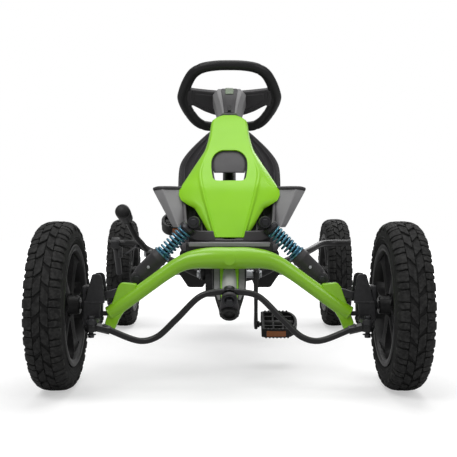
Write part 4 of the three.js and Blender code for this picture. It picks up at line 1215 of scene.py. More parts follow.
def nose():
    shell = Shape()
    rings = []
    for z, half in ((156, 19), (170, 22), (190, 29), (212, 35), (236, 36.5), (252, 37),
                    (262, 34), (266, 30)):
        y = along_line(NOSE_LINE, z)
        rings.append([Vector((x, y + back, z)) for x, back in
                      ((-half - 1, 16), (-half, 4), (-half + 3, 1), (0, 0.4), (half - 3, 1),
                       (half, 4), (half + 1, 16))])
    shell.add(*lofted(rings))
    done = shell.piece("nose_shell", "chassis", node="nose_cover", material=BLACK_PLASTIC, flat=35)
    bevel(done, 0.9, 2, 35)

    # The middle strip down the nose is light grey painted highlight, for the lit upper face of the
    # column housing.
    highlight_strip = Shape()
    ribbon(highlight_strip, ((176, -9, 9), (206, -10.5, 10.5), (266, -12, 12)), NOSE_LINE, 3.2)
    highlight_strip.piece("nose_strip_painted_highlight", "chassis", material=PAINTED_HIGHLIGHT_GREY, smooth=False)
    lime = Shape()
    grey = Shape()
    for side in (1, -1):
        def pair(a, b):
            return (side * a, side * b) if side > 0 else (-b, -a)
        ribbon(lime, ((178, *pair(12.5, 15)), (206, *pair(11.5, 19)), (266, *pair(13, 20.5))),
               NOSE_LINE, 2.6)
        ribbon(grey, ((192, *pair(19, 24)), (212, *pair(20, 33)), (266, *pair(21.5, 33.5))),
               NOSE_LINE, 2.2)
    lime.piece("nose_strips_lime", "chassis", material=STRIPE_GREEN, smooth=False)
    grey.piece("nose_strips_grey", "chassis", material=GREY_PLASTIC, smooth=False)
    slot_mark = Shape()
    ribbon(slot_mark, ((251, -2.5, 2.5), (254, -3.2, 3.2), (266.5, -3.2, 3.2)), NOSE_LINE, 4.2)
    slot_mark.piece("nose_slot", "chassis", material=BLACK_PLASTIC, smooth=False)


bonnet()
scoop()
shroud()
for wheel_side, sign in LEFT_AND_RIGHT:
    fin(wheel_side, sign)
nose()


# ---------------------------------------------------------------- steering wheel
RIM_HALF = ((0, 1.0), (0.3, 0.985), (0.56, 0.915), (0.75, 0.76), (0.885, 0.47), (0.975, 0.14),
            (1.0, -0.03), (0.955, -0.27), (0.84, -0.59), (0.70, -0.84), (0.54, -0.965),
            (0.28, -1.0), (0, -1.0))


def steering_wheel():
    shape = Shape()
    loop = list(RIM_HALF) + [(-x, z) for x, z in reversed(RIM_HALF[1:-1])]
    path = smooth_path([(x * 129.5, -z * 102, 0) for x, z in loop], 5, closed=True)
    count = len(path)
    points = []
    sides = 20
    for i, centre in enumerate(path):
        tangent = (path[(i + 1) % count] - path[i - 1]).normalized()
        normal = Vector((0, 0, 1))
        side = tangent.cross(normal)
        angle = math.atan2(-centre.y, centre.x)
        size = 13.4 + 1.4 * abs(math.cos(angle)) ** 3
        seam = min(abs((math.degrees(angle) - d + 180) % 360 - 180) for d in
                   (48, 132, 206, 334, 232, 308))
        size -= 1.1 * max(0, 1 - seam / 1.8)
        for k in range(sides):
            a = 2 * math.pi * k / sides
            bump = 1 + 0.05 * math.cos(2 * a)
            points.append(centre + side * (math.cos(a) * size * bump)
                          + normal * (math.sin(a) * size * 0.98))
    faces = grid_faces(count, sides, wrap_rows=True, wrap_columns=True)
    shape.add(points, faces, COLUMN)
    shape.piece("steering_rim_moulded", "steering", node="steering_rim", material=GRIP_RUBBER)

    spokes = Shape()
    for side in (1, -1):
        top = [(20, -17), (60, -21), (98, -26), (112, -28), (118, -16), (118, 14), (112, 25),
               (103, 24), (90, 32), (70, 45), (45, 56), (22, 61), (12, 58), (12, -12)]
        spokes.add(*slab([(side * x, y) for x, y in rounded(top, 5)], -8, 7, COLUMN, inset=2.4))
        raised = rounded([(34, -10), (62, -14), (96, -18), (98, 8), (80, 24), (60, 37),
                          (34, 47)], 4)
        spokes.add(*slab([(side * x, y) for x, y in raised], -10.5, 9, COLUMN, inset=2.6))
        clamp = [COLUMN @ Vector((side * 110, -26, 0)), COLUMN @ Vector((side * 112, 0, 0)),
                 COLUMN @ Vector((side * 108, 24, 0))]
        spokes.add(*swept(smooth_path(clamp, 5), 11, 20, round_ends=2))
    done = spokes.piece("steering_spokes_moulded", "steering", node="steering_spokes",
                        material=DARK_PLASTIC, flat=35)
    bevel(done, 0.8, 2, 35)

    def tower(rows, name, material, slot_name, node=None):
        """A tapering hub section: rows of (height on the column, half width, front, back)."""
        body = Shape()
        rings = []
        for height, half, front, back in rows:
            chamfer = min(half, 9)
            rings.append([COLUMN @ Vector((x, y, height)) for x, y in
                          ((-half, back - chamfer), (-half, front + chamfer * 1.5),
                           (-half + chamfer * 1.3, front), (half - chamfer * 1.3, front),
                           (half, front + chamfer * 1.5), (half, back - chamfer),
                           (half - chamfer, back), (-half + chamfer, back))])
        body.add(*lofted(rings))
        piece = body.piece(name, "steering", node=node, material=material, slot=slot_name, flat=20)
        bevel(piece, 1.6, 3, 20)
        return piece

    tower(((-112, 30, -24, 24), (-90, 33, -26, 25), (-60, 38, -28, 26), (-30, 44, -29, 26),
           (-12, 46, -28, 26), (2, 42, -25, 24), (10, 33, -19, 18)), "steering_hub_tower",
          GREY_PLASTIC, "grey_plastic", "steering_hub")
    inlay = Shape()
    rings = []
    for height, half, front in ((-110, 14, -25.6), (-60, 18, -29.6), (-30, 21, -30.6),
                                (-12, 23, -29.8), (1, 21, -26.8)):
        rings.append([COLUMN @ Vector((x, front + back, height)) for x, back in
                      ((-half, 5), (-half, 1), (-half + 2, 0), (-half * 0.3, -0.3),
                       (half * 0.3, -0.3), (half - 2, 0), (half, 1), (half, 5))])
    inlay.add(*lofted(rings))
    inlay.piece("steering_hub_inlay", "steering", material=DARK_PLASTIC, flat=25)
    patch = Shape()
    rings = []
    for height, half, front in ((-32, 11, -32.2), (-13, 11.5, -31.4), (-3, 11, -29.6),
                                (5, 10, -26.6)):
        rings.append([COLUMN @ Vector((x, front + back, height)) for x, back in
                      ((-half, 3), (-half, 0.6), (-half + 1, 0), (half - 1, 0), (half, 0.6),
                       (half, 3))])
    patch.add(*lofted(rings))
    outline = rounded([(-18, -12), (18, -12), (21, 0), (17, 12), (-17, 12), (-21, 0)], 4)
    patch.add(*slab(outline, 9.5, 11.6, COLUMN, inset=0.8))
    patch.piece("steering_hub_patch", "steering", material=PATCH_GREEN, smooth=False)
    notch = Shape()
    notch.add(*slab(rounded([(-4, -31), (4, -31), (4, -25), (-4, -25)], 1), -108, -84, COLUMN,
                    inset=0.6))
    notch.piece("steering_hub_notch", "steering", material=BLACK_PLASTIC, smooth=False)
    screws = Shape()
    up = COLUMN.to_3x3() @ Vector((0, 0, 1))
    for x, y in ((-84, 4), (84, 4), (-58, 14), (58, 14)):
        screws.add(*turned([(0, 0), (4, 0), (4.2, 0.4), (3.4, 1.4), (1.6, 1.2), (1.4, 0.4),
                            (0, 0.4)], 20), COLUMN @ Matrix.Translation((x, y, 9)))
    screws.piece("steering_screws", "steering", material=STEEL, flat=35)
    shaft = Shape()
    shaft.add(*tube_with_axis(HAND_WHEEL, up, 9, -784, -31, 0, 1.0, 32))
    shaft.add(*tube_with_axis(HAND_WHEEL, up, 13, -148, -112, 0, 1.5, 32))
    shaft.piece("steering_shaft_turned", "steering", node="steering_shaft", material=STEEL,
                flat=35)


steering_wheel()


# ---------------------------------------------------------------- seat
# Y, Z, half width, bolster height, up direction's Y and Z
SEAT_ROWS = (
    (94, 268, 132, 2, -0.9, 0.4), (99, 277, 137, 6, -0.5, 0.86), (112, 280, 141, 14, -0.1, 1.0),
    (150, 276, 145, 27, 0, 1), (200, 272, 147, 38, 0, 1), (250, 271, 148, 44, 0, 1),
    (292, 276, 149, 48, -0.25, 0.97), (318, 290, 151, 50, -0.7, 0.71),
    (332, 316, 153, 48, -0.95, 0.31), (343, 352, 156, 44, -0.98, 0.2),
    (353, 400, 159, 38, -0.98, 0.2), (364, 452, 160, 31, -0.98, 0.2),
    (372, 490, 160, 26, -0.98, 0.2), (380, 528, 158, 21, -0.98, 0.2),
    (385, 556, 143, 17, -0.98, 0.2), (391, 588, 117, 13, -0.98, 0.2),
    (396, 618, 86, 10, -0.98, 0.2), (400, 640, 62, 7, -0.9, 0.4), (405, 647, 46, 4, -0.3, 0.95))
SEAT_COLUMNS = ((0, -3), (0.19, -3), (0.375, -2.5), (0.46, -1.5), (0.62, 0), (0.76, 3),
                (0.84, 0), (0.9, 0), (0.965, 0), (1.0, 0), (0.995, 0))


def seat_point(row, fraction, side, lift):
    y, z, half, bolster, up_y, up_z = row
    up = Vector((0, up_y, up_z)).normalized()
    f = abs(fraction)
    rise = lift
    if f > 0.78:
        t = min(1, (f - 0.78) / 0.19)
        rise += bolster * t * t * (3 - 2 * t)
    return Vector((side * f * half, y, z)) + up * rise


def seat():
    rows = []
    for row in SEAT_ROWS:
        half = []
        for i, (fraction, lift) in enumerate(SEAT_COLUMNS):
            if i == len(SEAT_COLUMNS) - 1:  # the edge turned down outside the bolster
                spot = seat_point(row, 1.0, 1, -min(24, row[3] * 0.6 + 6))
            else:
                spot = seat_point(row, fraction, 1, lift)
            half.append(spot)
        rows.append([Vector((-p.x, p.y, p.z)) for p in reversed(half[1:])] + half)
    columns = len(rows[0])
    middle = columns // 2
    points = [p for row in rows for p in row]
    faces = []
    for r in range(len(rows) - 1):
        for c in range(columns - 1):
            hole = middle - 2 <= c < middle + 2 and 452 <= SEAT_ROWS[r][1] < 528
            if not hole:
                faces.append((r * columns + c, r * columns + c + 1,
                              (r + 1) * columns + c + 1, (r + 1) * columns + c))
    shell = new_piece("seat_bucket", points, faces, "seat", node="seat_shell",
                      material=SEAT_PLASTIC)
    crease(shell, 60, 0.4)
    subdivide(shell, 2)
    thicken(shell, 5.5, 0)
    bevel(shell, 1.2, 2, 50)

    lines = Shape()
    for side in (1, -1):
        for fraction, lift, start, stop in ((0.55, -0.2, 7, 17), (0.74, 2.4, 6, 17),
                                            (0.9, 0.0, 8, 17)):
            path = [seat_point(row, fraction, side, lift + 2.6) for row in SEAT_ROWS[start:stop]]
            lines.add(*swept(smooth_path(path, 8), 2.0, 10, squash=1.6, round_ends=1.5))
            path = [seat_point(row, fraction, side, lift - 2.9)
                    for row in SEAT_ROWS[start + 2:stop]]
            lines.add(*swept(smooth_path(path, 8), 2.2, 10, squash=1.6, round_ends=1.5))
    for y in (135, 170, 205, 240):
        row = (y, 274 - (y - 112) * 0.03, 145, 30, 0, 1)
        path = [seat_point(row, f, 1 if f > 0 else -1, 1.5) for f in (-0.55, -0.3, 0.3, 0.55)]
        lines.add(*swept(smooth_path(path, 10), 2.4, 10, squash=1.5, round_ends=1.5))
    lines.piece("seat_embossing", "seat", material=SEAT_PLASTIC)

    base = Shape()
    for side in (1, -1):
        apron = rounded([(66, 268), (143, 268), (146, 205), (117, 165), (76, 165), (66, 182)], 5)
        base.add(*slab([(side * x, z) for x, z in apron], -104, -94, UPRIGHT, inset=1.8))
        rings = []
        for y, foot in ((99, 166), (140, 170), (200, 178), (260, 192), (316, 214)):
            rings.append([Vector((side * x, y, z)) for x, z in
                          ((112, 270), (141, 270), (145.5, max(205, foot + 22)),
                           (120, foot + 1), (116, foot), (111, foot + 3))])
        base.add(*lofted(rings))
        for y in (130, 175, 220):
            rib = [(110, 268), (110, 200), (90, 222), (66, 268)]
            base.add(*slab([(side * x, z) for x, z in rib], -y - 1.6, -y + 1.6, UPRIGHT,
                           inset=0.5))
        base.add(*swept([Vector((side * 128, 98, 262)), Vector((side * 128, 310, 262))], 9, 16))
    done = base.piece("seat_base", "seat", material=BLACK_PLASTIC, slot="seat_plastic", flat=32)
    bevel(done, 0.8, 2, 32)

    spine = Shape()  # stiffening ribs behind the backrest
    for side in (1, -1):
        path = [Vector((side * 30, 330, 268)), Vector((side * 40, 352, 320)),
                Vector((side * 62, 372, 430)), Vector((side * 66, 390, 540)),
                Vector((side * 40, 404, 612))]
        spine.add(*swept(smooth_path(path, 8), 6, 14, squash=1.5))
    spine.piece("seat_back_ribs", "seat", material=SEAT_PLASTIC)

    low, high = (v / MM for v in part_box("seat_carriage"))
    carriage = Shape()
    outline = rounded([(low.x, low.z), (high.x, low.z), (high.x, high.z), (low.x, high.z)], 5)
    carriage.add(*slab(outline, -high.y, -low.y, UPRIGHT, inset=1.5))
    plate = rounded([(-46, 160), (46, 160), (46, 286), (-46, 286)], 8)
    carriage.add(*slab(plate, 259, 264, inset=1.0))
    carriage.piece("seat_slider", "seat", node="seat_carriage", material=FRAME_BLACK, flat=32)
    bolts = Shape()
    for x in (-38, 38):
        for y in (190, 276):
            bolt_shape(bolts, (x, y, 259), (0, 0, -1), 6, 4.5)
    for y in (166, 190):
        bolt_shape(bolts, (high.x, y, 216), (1, 0, 0), 6, 4.5)
    bolts.piece("seat_slider_bolts", "seat", material=STEEL, flat=30)

    knob = Shape()
    outline = []
    for k in range(60):
        a = 2 * math.pi * k / 60
        r = 17 + 2.4 * math.cos(5 * a)
        outline.append((r * math.cos(a), r * math.sin(a)))
    place = axis_place((32, 262, 214), (1, 0, 0))
    knob.add(*slab(outline, 16, 32, place, inset=2.2))
    knob.add(*turned([(0, 0), (9, 0), (9, 14), (11, 17), (0, 17)], 32), place)
    knob.add(*turned([(0, 31), (7, 31), (6.4, 33), (0, 33.4)], 32), place)
    knob.piece("seat_clamp_knob", "seat", node="seat_knob", material=BLACK_PLASTIC, flat=40)


seat()


# ---------------------------------------------------------------- frame
def band(path, half_width, low, high, closed=False, edge=1.0):
    """A bar of chamfered rectangular section that follows a flat path in X and Y."""
    count = len(path)
    rings = []
    for i, (x, y) in enumerate(path):
        x0, y0 = path[i - 1] if closed or i else path[0]
        x1, y1 = path[(i + 1) % count] if closed or i < count - 1 else path[-1]
        out = Vector((y1 - y0, x0 - x1)).normalized()
        w = half_width
        rings.append([Vector((x + out.x * n, y + out.y * n, z)) for n, z in
                      ((-w + edge, low), (-w, low + edge), (-w, high - edge), (-w + edge, high),
                       (w - edge, high), (w, high - edge), (w, low + edge), (w - edge, low))])
    if not closed:
        return lofted(rings)
    return ([p for ring in rings for p in ring],
            grid_faces(count, 8, wrap_rows=True, wrap_columns=True))


def main_frame():
    shape = Shape()
    beam = [(0, -434, 268), (0, -340, 246), (0, -225, 221), (0, -100, 198), (0, 20, BEAM_Z),
            (0, 200, BEAM_Z), (0, 488, BEAM_Z - 2)]
    shape.add(*swept(smooth_path(beam, 12), 24, 40, round_ends=1))
    low, high = (-95, -464, 262), (95, -420, 312)
    box = rounded([(low[1], low[2]), (high[1], low[2]), (high[1], high[2]), (low[1], high[2])], 5)
    across = Matrix(((0, 0, 1, 0), (1, 0, 0, 0), (0, 1, 0, 0), (0, 0, 0, 1)))
    shape.add(*slab(box, low[0], high[0], across, inset=1.4))
    up = COLUMN.to_3x3() @ Vector((0, 0, 1))
    shape.add(*tube_with_axis(HAND_WHEEL, up, 16, -672, -578, 13.5, 1.4))
    weld_bead(shape, COLUMN @ Vector((0, 0, -640)), up, 17, 2.2)
    shape.add(*tube_with_axis((0, FRONT_Y, PIVOT_Z), (0, 1, 0), 8, -20, 48, 0, 0.8))
    shape.add(*tube_with_axis((0, BRACKET_Y, BRACKET_Z), (1, 0, 0), 22, -34, 34, 14, 1.6, 48))
    for x in (-26, 26):
        weld_bead(shape, (x, BRACKET_Y, BRACKET_Z), (1, 0, 0), 22.6, 1.4)
    shape.add(*tube_with_axis((0, REAR_Y, WHEEL_RADIUS), (1, 0, 0), 20, -26, 120, 11, 1.6, 48))
    for x in (-26, 26):
        weld_bead(shape, (x, REAR_Y - 8, WHEEL_RADIUS + 3), (1, 0, 0), 21, 1.8)
    cross = rounded([(420, 176), (440, 176), (440, 196), (420, 196)], 3)
    shape.add(*slab(cross, -80, 0, across, inset=1.0))
    plate = rounded([(420, 162), (520, 162), (520, 198), (420, 198)], 7)
    shape.add(*slab(plate, -80, -70, across, inset=1.2))
    for side in (1, -1):
        ear = rounded([(66, 306), (90, 306), (90, 358), (86, 369), (70, 369), (66, 358)], 6)
        shape.add(*slab([(side * x, z) for x, z in ear], 422, 430, UPRIGHT, inset=1.0))
        brace = rounded([(40, 306), (66, 306), (66, 345)], 3)
        shape.add(*slab([(side * x, z) for x, z in brace], 424, 429, UPRIGHT, inset=0.8))
        shape.add(*tube_with_axis((side * 78, -424, 357), (0, -1, 0), 6, 0, 48, 0, 0.8))
    shape.piece("welded_frame", "chassis", node="main_frame", material=FRAME_BLACK, flat=38)

    top = Shape()  # the moulded cover on top of the front box
    cover = rounded([(-90, -465.5), (90, -465.5), (90, -421), (-90, -421)], 6)
    top.add(*slab(cover, 303, 313.5, inset=2.0))
    top.piece("front_box_cover", "chassis", material=GREY_PLASTIC, flat=38)

    tube = Shape()
    tube.add(*tube_with_axis(HAND_WHEEL, up, 16, -577.6, -150, 12, 1.2))
    tube.piece("column_sleeve", "chassis", node="column_tube", material=FRAME_BLACK, flat=38)
    # The collar's light grey is painted highlight, for the lit upper face of the column housing.
    collar = Shape()
    collar.add(*tube_with_axis(HAND_WHEEL, up, 15.4, -741, -662, 13.4, 2.4))
    collar.piece("column_collar", "chassis", material=PAINTED_HIGHLIGHT_GREY, flat=38)
    bushes = Shape()
    for start, stop in ((-181, -149), (-739, -708)):
        bushes.add(*tube_with_axis(HAND_WHEEL, up, 13.2, start, stop, 9.4, 0.8))
    bushes.add(*tube_with_axis(HAND_WHEEL, up, 17.5, -150.2, -147.4, 9.4, 0.8))
    bushes.piece("column_bushes", "chassis", material=BLACK_PLASTIC,
                 node=("column_bush_upper", "column_bush_lower"), flat=38)
    plug = Shape()  # a shallow green plug closes the front of the pivot
    plug.add(*turned([(0, -6), (12, -6), (12, -0.6), (8, 0.7), (0, 1.1)], 40),
             axis_place((0, FRONT_Y - 24.4, PIVOT_Z), (0, -1, 0)))
    plug.piece("axle_pivot_plug", "chassis", node="axle_pivot_nut", material=AXLE_GREEN, flat=38)


def guard_bar(side, sign):
    half = [(25, 0, 196), (80, 2, 208), (146, 12, 240), (230, 120, 269), (280, 204, 286),
            (316, 225, 288), (340, 225, 288), (366, 225, 288)]
    shape = Shape()
    shape.add(*swept(smooth_path([(sign * x, y, z) for x, y, z in half], 8), 10, 28))
    weld_bead(shape, (sign * 25, 0, 196), (1, 0, 0.1), 11, 2.0)
    if sign < 0:
        across = Matrix(((0, 0, 1, 0), (1, 0, 0, 0), (0, 1, 0, 0), (0, 0, 0, 1)))
        ear = rounded([(58, 250), (122, 246), (122, 262), (80, 276), (58, 272)], 5)
        shape.add(*slab(ear, -218, -212, across, inset=1.0))
        shape.add(*tube_with_axis((-212, 68, 262), (-1, 0, 0), 5, 0, 27, 0, 0.6))
    shape.piece(f"guard_bar_bent_{side}", "chassis", node=f"guard_bar_{side}",
                material=FRAME_BLACK, flat=38)
    cap = Shape()
    cap.add(*tube_with_axis((sign * 362, 225, 288), (sign, 0, 0), 11, 0, 7, 0, 2.6))
    cap.piece(f"guard_bar_cap_{side}", "chassis", material=BLACK_PLASTIC, flat=40)


main_frame()
for wheel_side, sign in LEFT_AND_RIGHT:
    guard_bar(wheel_side, sign)
# ---------------------------------------------------------------- chain drive
BRACKET = Vector((0, BRACKET_Y, BRACKET_Z))
REAR_CENTRE = Vector((0, REAR_Y, WHEEL_RADIUS))


def chain_route(ring_radius, sprocket_radius, step):
    """Points in Y and Z round both sprockets, evenly spaced."""
    line = REAR_CENTRE - BRACKET
    span = line.length
    lean = math.atan2(line.z, line.y)
    tilt = math.asin((ring_radius - sprocket_radius) / span)
    corners = []
    for k in range(0, 41):  # round the chainring, from its lower to its upper side
        a = lean - math.pi / 2 - tilt * -1 - (math.pi + 2 * tilt) * k / 40
        corners.append((BRACKET.y + ring_radius * math.cos(a),
                        BRACKET.z + ring_radius * math.sin(a)))
    for k in range(0, 41):
        a = lean + math.pi / 2 - tilt - (math.pi - 2 * tilt) * k / 40
        corners.append((REAR_CENTRE.y + sprocket_radius * math.cos(a),
                        REAR_CENTRE.z + sprocket_radius * math.sin(a)))
    corners.append(corners[0])
    lengths = [math.dist(a, b) for a, b in zip(corners, corners[1:])]
    count = round(sum(lengths) / step / 2) * 2
    spacing = sum(lengths) / count
    result = []
    run, i = 0.0, 0
    for k in range(count):
        target = k * spacing
        while run + lengths[i] < target:
            run += lengths[i]
            i += 1
        t = (target - run) / lengths[i]
        (y0, z0), (y1, z1) = corners[i], corners[i + 1]
        result.append((y0 + (y1 - y0) * t, z0 + (z1 - z0) * t))
    return result


def toothed(shape, teeth, root, tip, bore, centre, x, thickness):
    """A toothed ring about the X direction."""
    outline = []
    for k in range(teeth):
        for shift, radius in ((0.0, root), (0.22, root + (tip - root) * 0.35), (0.40, tip),
                              (0.60, tip), (0.78, root + (tip - root) * 0.35)):
            outline.append((2 * math.pi * (k + shift) / teeth, radius))
    rings = []
    for radius_of, depth in ((None, 0.5), (None, thickness - 0.5), (bore + 0.5, thickness),
                             (bore, thickness - 0.5), (bore, 0.5), (bore + 0.5, 0.0)):
        rings.append([Vector((x + depth, centre.y + (radius_of or r) * math.cos(a),
                              centre.z + (radius_of or r) * math.sin(a))) for a, r in outline])
    count = len(outline)
    shape.add([p for ring in rings for p in ring],
              grid_faces(len(rings), count, wrap_rows=True, wrap_columns=True))


def chain():
    spots = chain_route(CHAINRING_RADIUS + 1.5, SPROCKET_RADIUS + 1.0, 12.7)
    shape = Shape()
    count = len(spots)
    for k, (y, z) in enumerate(spots):
        y2, z2 = spots[(k + 1) % count]
        angle = math.atan2(z2 - z, y2 - y)
        length = math.dist((y, z), (y2, z2))
        wide = k % 2
        outline = []
        for a in range(-90, 91, 30):
            outline.append((length + 4.2 * math.cos(math.radians(a)),
                            4.2 * math.sin(math.radians(a))))
        outline.append((length / 2, 2.6))
        for a in range(90, 271, 30):
            outline.append((4.2 * math.cos(math.radians(a)), 4.2 * math.sin(math.radians(a))))
        outline.append((length / 2, -2.6))
        turn = Matrix(((0, 0, 1, 0), (1, 0, 0, 0), (0, 1, 0, 0), (0, 0, 0, 1)))
        place = Matrix.Translation((CHAIN_X, y, z)) @ turn @ Matrix.Rotation(angle, 4, "Z")
        for side in (1, -1):
            near = 2.9 if wide else 1.8
            low, high = sorted((side * near, side * (near + 0.9)))
            shape.add(*slab(outline, low, high, place, inset=0.15))
        shape.add(*turned([(0, -4), (1.6, -4), (1.6, -1.7), (3.2, -1.7), (3.2, 1.7), (1.6, 1.7),
                           (1.6, 4), (0, 4)], 12), place)
    shape.piece("roller_chain", "chassis", node="chain", material=DARK_STEEL, flat=35)


def crank_set():
    ring = Shape()
    toothed(ring, 22, CHAINRING_RADIUS - 4.5, CHAINRING_RADIUS + 1.5, 31, BRACKET, CHAIN_X - 1.4,
            2.8)
    for k in range(5):
        a = 2 * math.pi * k / 5 + 0.3
        arm = [BRACKET + Vector((CHAIN_X, r * math.cos(a), r * math.sin(a))) for r in (8, 22, 35)]
        ring.add(*swept(arm, 4.0, 12, squash=0.5))
    ring.add(*tube_with_axis((CHAIN_X, BRACKET_Y, BRACKET_Z), (1, 0, 0), 15, -3, 3, 10.2, 0.8))
    ring.piece("chainring_toothed", "crank", node="chainring", material=DARK_STEEL, flat=35)
    spindle = Shape()
    spindle.add(*tube_with_axis((0, BRACKET_Y, BRACKET_Z), (1, 0, 0), 10, -74, 74, 0, 1.0))
    spindle.piece("crank_spindle_turned", "crank", node="crank_spindle", material=STEEL, flat=35)
    for side, sign in LEFT_AND_RIGHT:
        drop = -1 if side == "left" else 1
        arm = Shape()
        rings = []
        for run, half, thick in ((-15, 8, 5), (-8, 15, 6.4), (0, 17, 6.8), (14, 14.5, 6.6),
                                 (30, 11, 6.0), (60, 9.2, 5.2), (95, 9, 4.8), (114, 10.6, 5.2),
                                 (CRANK_LENGTH, 12, 5.4), (132, 10, 5.0), (137, 5, 4)):
            z = BRACKET_Z + drop * run
            x = sign * (CRANK_ARM_X - 0.5)
            rings.append([Vector((x + sx, BRACKET_Y + sy, z)) for sx, sy in
                          ((-thick + 1, -half + 2), (-thick + 1, half - 2), (-thick + 2.5, half),
                           (thick - 2.5, half), (thick, half - 2.5), (thick, -half + 2.5),
                           (thick - 2.5, -half), (-thick + 2.5, -half))])
        arm.add(*lofted(rings))
        pin = (sign * CRANK_ARM_X, BRACKET_Y, BRACKET_Z + drop * CRANK_LENGTH)
        arm.add(*tube_with_axis(pin, (sign, 0, 0), 5, -4, 102, 0, 0.8))
        arm.add(*tube_with_axis(pin, (sign, 0, 0), 8, 5, 9, 0, 0.8))
        arm.piece(f"crank_arm_forged_{side}", "crank", node=f"crank_arm_{side}",
                  material=FRAME_BLACK, slot="cast_grey", flat=35)
        nut = Shape()
        bolt_shape(nut, (sign * 73, BRACKET_Y, BRACKET_Z), (sign, 0, 0), 9, 6)
        nut.piece(f"crank_nut_{side}", "crank", material=STEEL, flat=30)
        pedal(side, sign, Vector(pin))


def pedal(side, sign, pin):
    place = (Matrix.Translation((0, pin.y, pin.z)) @ Matrix.Rotation(math.radians(27), 4, "X"))
    inner, outer = CRANK_ARM_X + 12, CRANK_ARM_X + 102
    body = Shape()
    path = [(inner + 6, -36.5), (inner + 40, -38), (inner + 62, -37)]
    path += [(inner + 62 + 24 * math.sin(a), -37 * math.cos(a))
             for a in (math.radians(d) for d in range(12, 169, 12))]
    path += [(inner + 62, 37), (inner + 40, 38), (inner + 6, 36.5)]
    body.add(*band([(sign * x, y) for x, y in path], 3.6, -12.5, 12.5, edge=1.4), place)
    plate = [(inner + 1, -39), (inner + 9, -39), (inner + 9, 39), (inner + 1, 39)]
    body.add(*slab([(sign * x, y) for x, y in rounded(plate, 2.5)], -12.5, 12.5, place,
                   inset=1.6))
    body.add(*tube_with_axis(place @ Vector((0, 0, 0)), (sign, 0, 0), 9.6, inner + 2, outer - 10,
                             5.8, 1.2), None)
    for x in (inner + 30, inner + 54):
        body.add(*band([(sign * x, -37), (sign * x, 37)], 2.4, -9, 9, edge=0.8), place)
    for y in (-20, 20):
        body.add(*band([(sign * (inner + 5), y), (sign * (outer - 14), y)], 2.2, -10, 10,
                       edge=0.8), place)
    for y in (-38.5, 38.5):
        for k in range(7):
            x = inner + 12 + k * 9
            tooth = [(x - 2.2, y - 1.5), (x + 2.2, y - 1.5), (x + 2.2, y + 1.5),
                     (x - 2.2, y + 1.5)]
            body.add(*slab([(sign * a, b) for a, b in tooth], -14.6, 14.6, place, inset=0.8))
    body.piece(f"pedal_cage_{side}", f"pedal_{side}", node=f"pedal_{side}", material=BLACK_PLASTIC,
               flat=35)
    lens = Shape()
    shape = rounded([(inner + 13, -8), (inner + 60, -8), (inner + 60, 8), (inner + 13, 8)], 2)
    for depth in (39.5, -42.5):
        lens.add(*slab([(sign * x, z) for x, z in shape], depth, depth + 3, place @ UPRIGHT,
                       inset=0.8))
    lens.piece(f"pedal_reflectors_{side}", f"pedal_{side}", material=AMBER, smooth=False)


def rear_drive():
    sprocket = Shape()
    toothed(sprocket, 14, SPROCKET_RADIUS - 4, SPROCKET_RADIUS + 1.5, 10.4, REAR_CENTRE,
            CHAIN_X - 1.4, 2.8)
    sprocket.add(*tube_with_axis((CHAIN_X, REAR_Y, WHEEL_RADIUS), (1, 0, 0), 17, -8, 6, 10.4,
                                 1.0))
    sprocket.piece("rear_sprocket_toothed", "rear_axle", node="rear_sprocket", material=DARK_STEEL,
                   flat=35)
    shaft = Shape()
    shaft.add(*tube_with_axis((0, REAR_Y, WHEEL_RADIUS), (1, 0, 0), 10, -391, 391, 0, 1.2))
    for x in (-306, 306):
        shaft.add(*tube_with_axis((x, REAR_Y, WHEEL_RADIUS), (1, 0, 0), 15, -3, 3, 0, 1.0))
    shaft.piece("rear_shaft_turned", "rear_axle", node="rear_axle_shaft", material=STEEL, flat=35)
    guard = frame["nodes"]["chain_guard"]
    guard.data.materials[0] = BLACK_PLASTIC
    bevel(guard, 1.6, 3, 40)
    screws = Shape()
    for y, z in ((-225, 282), (60, 248), (330, 226), (-80, 172), (250, 150)):
        screws.add(*turned([(0, 0), (5, 0), (5.2, 0.5), (4, 1.8), (0, 2.2)], 24),
                   axis_place((-57.6, y, z), (-1, 0, 0)))
    screws.piece("chain_guard_screws", "chassis", material=STEEL, flat=35)


chain()
crank_set()
rear_drive()


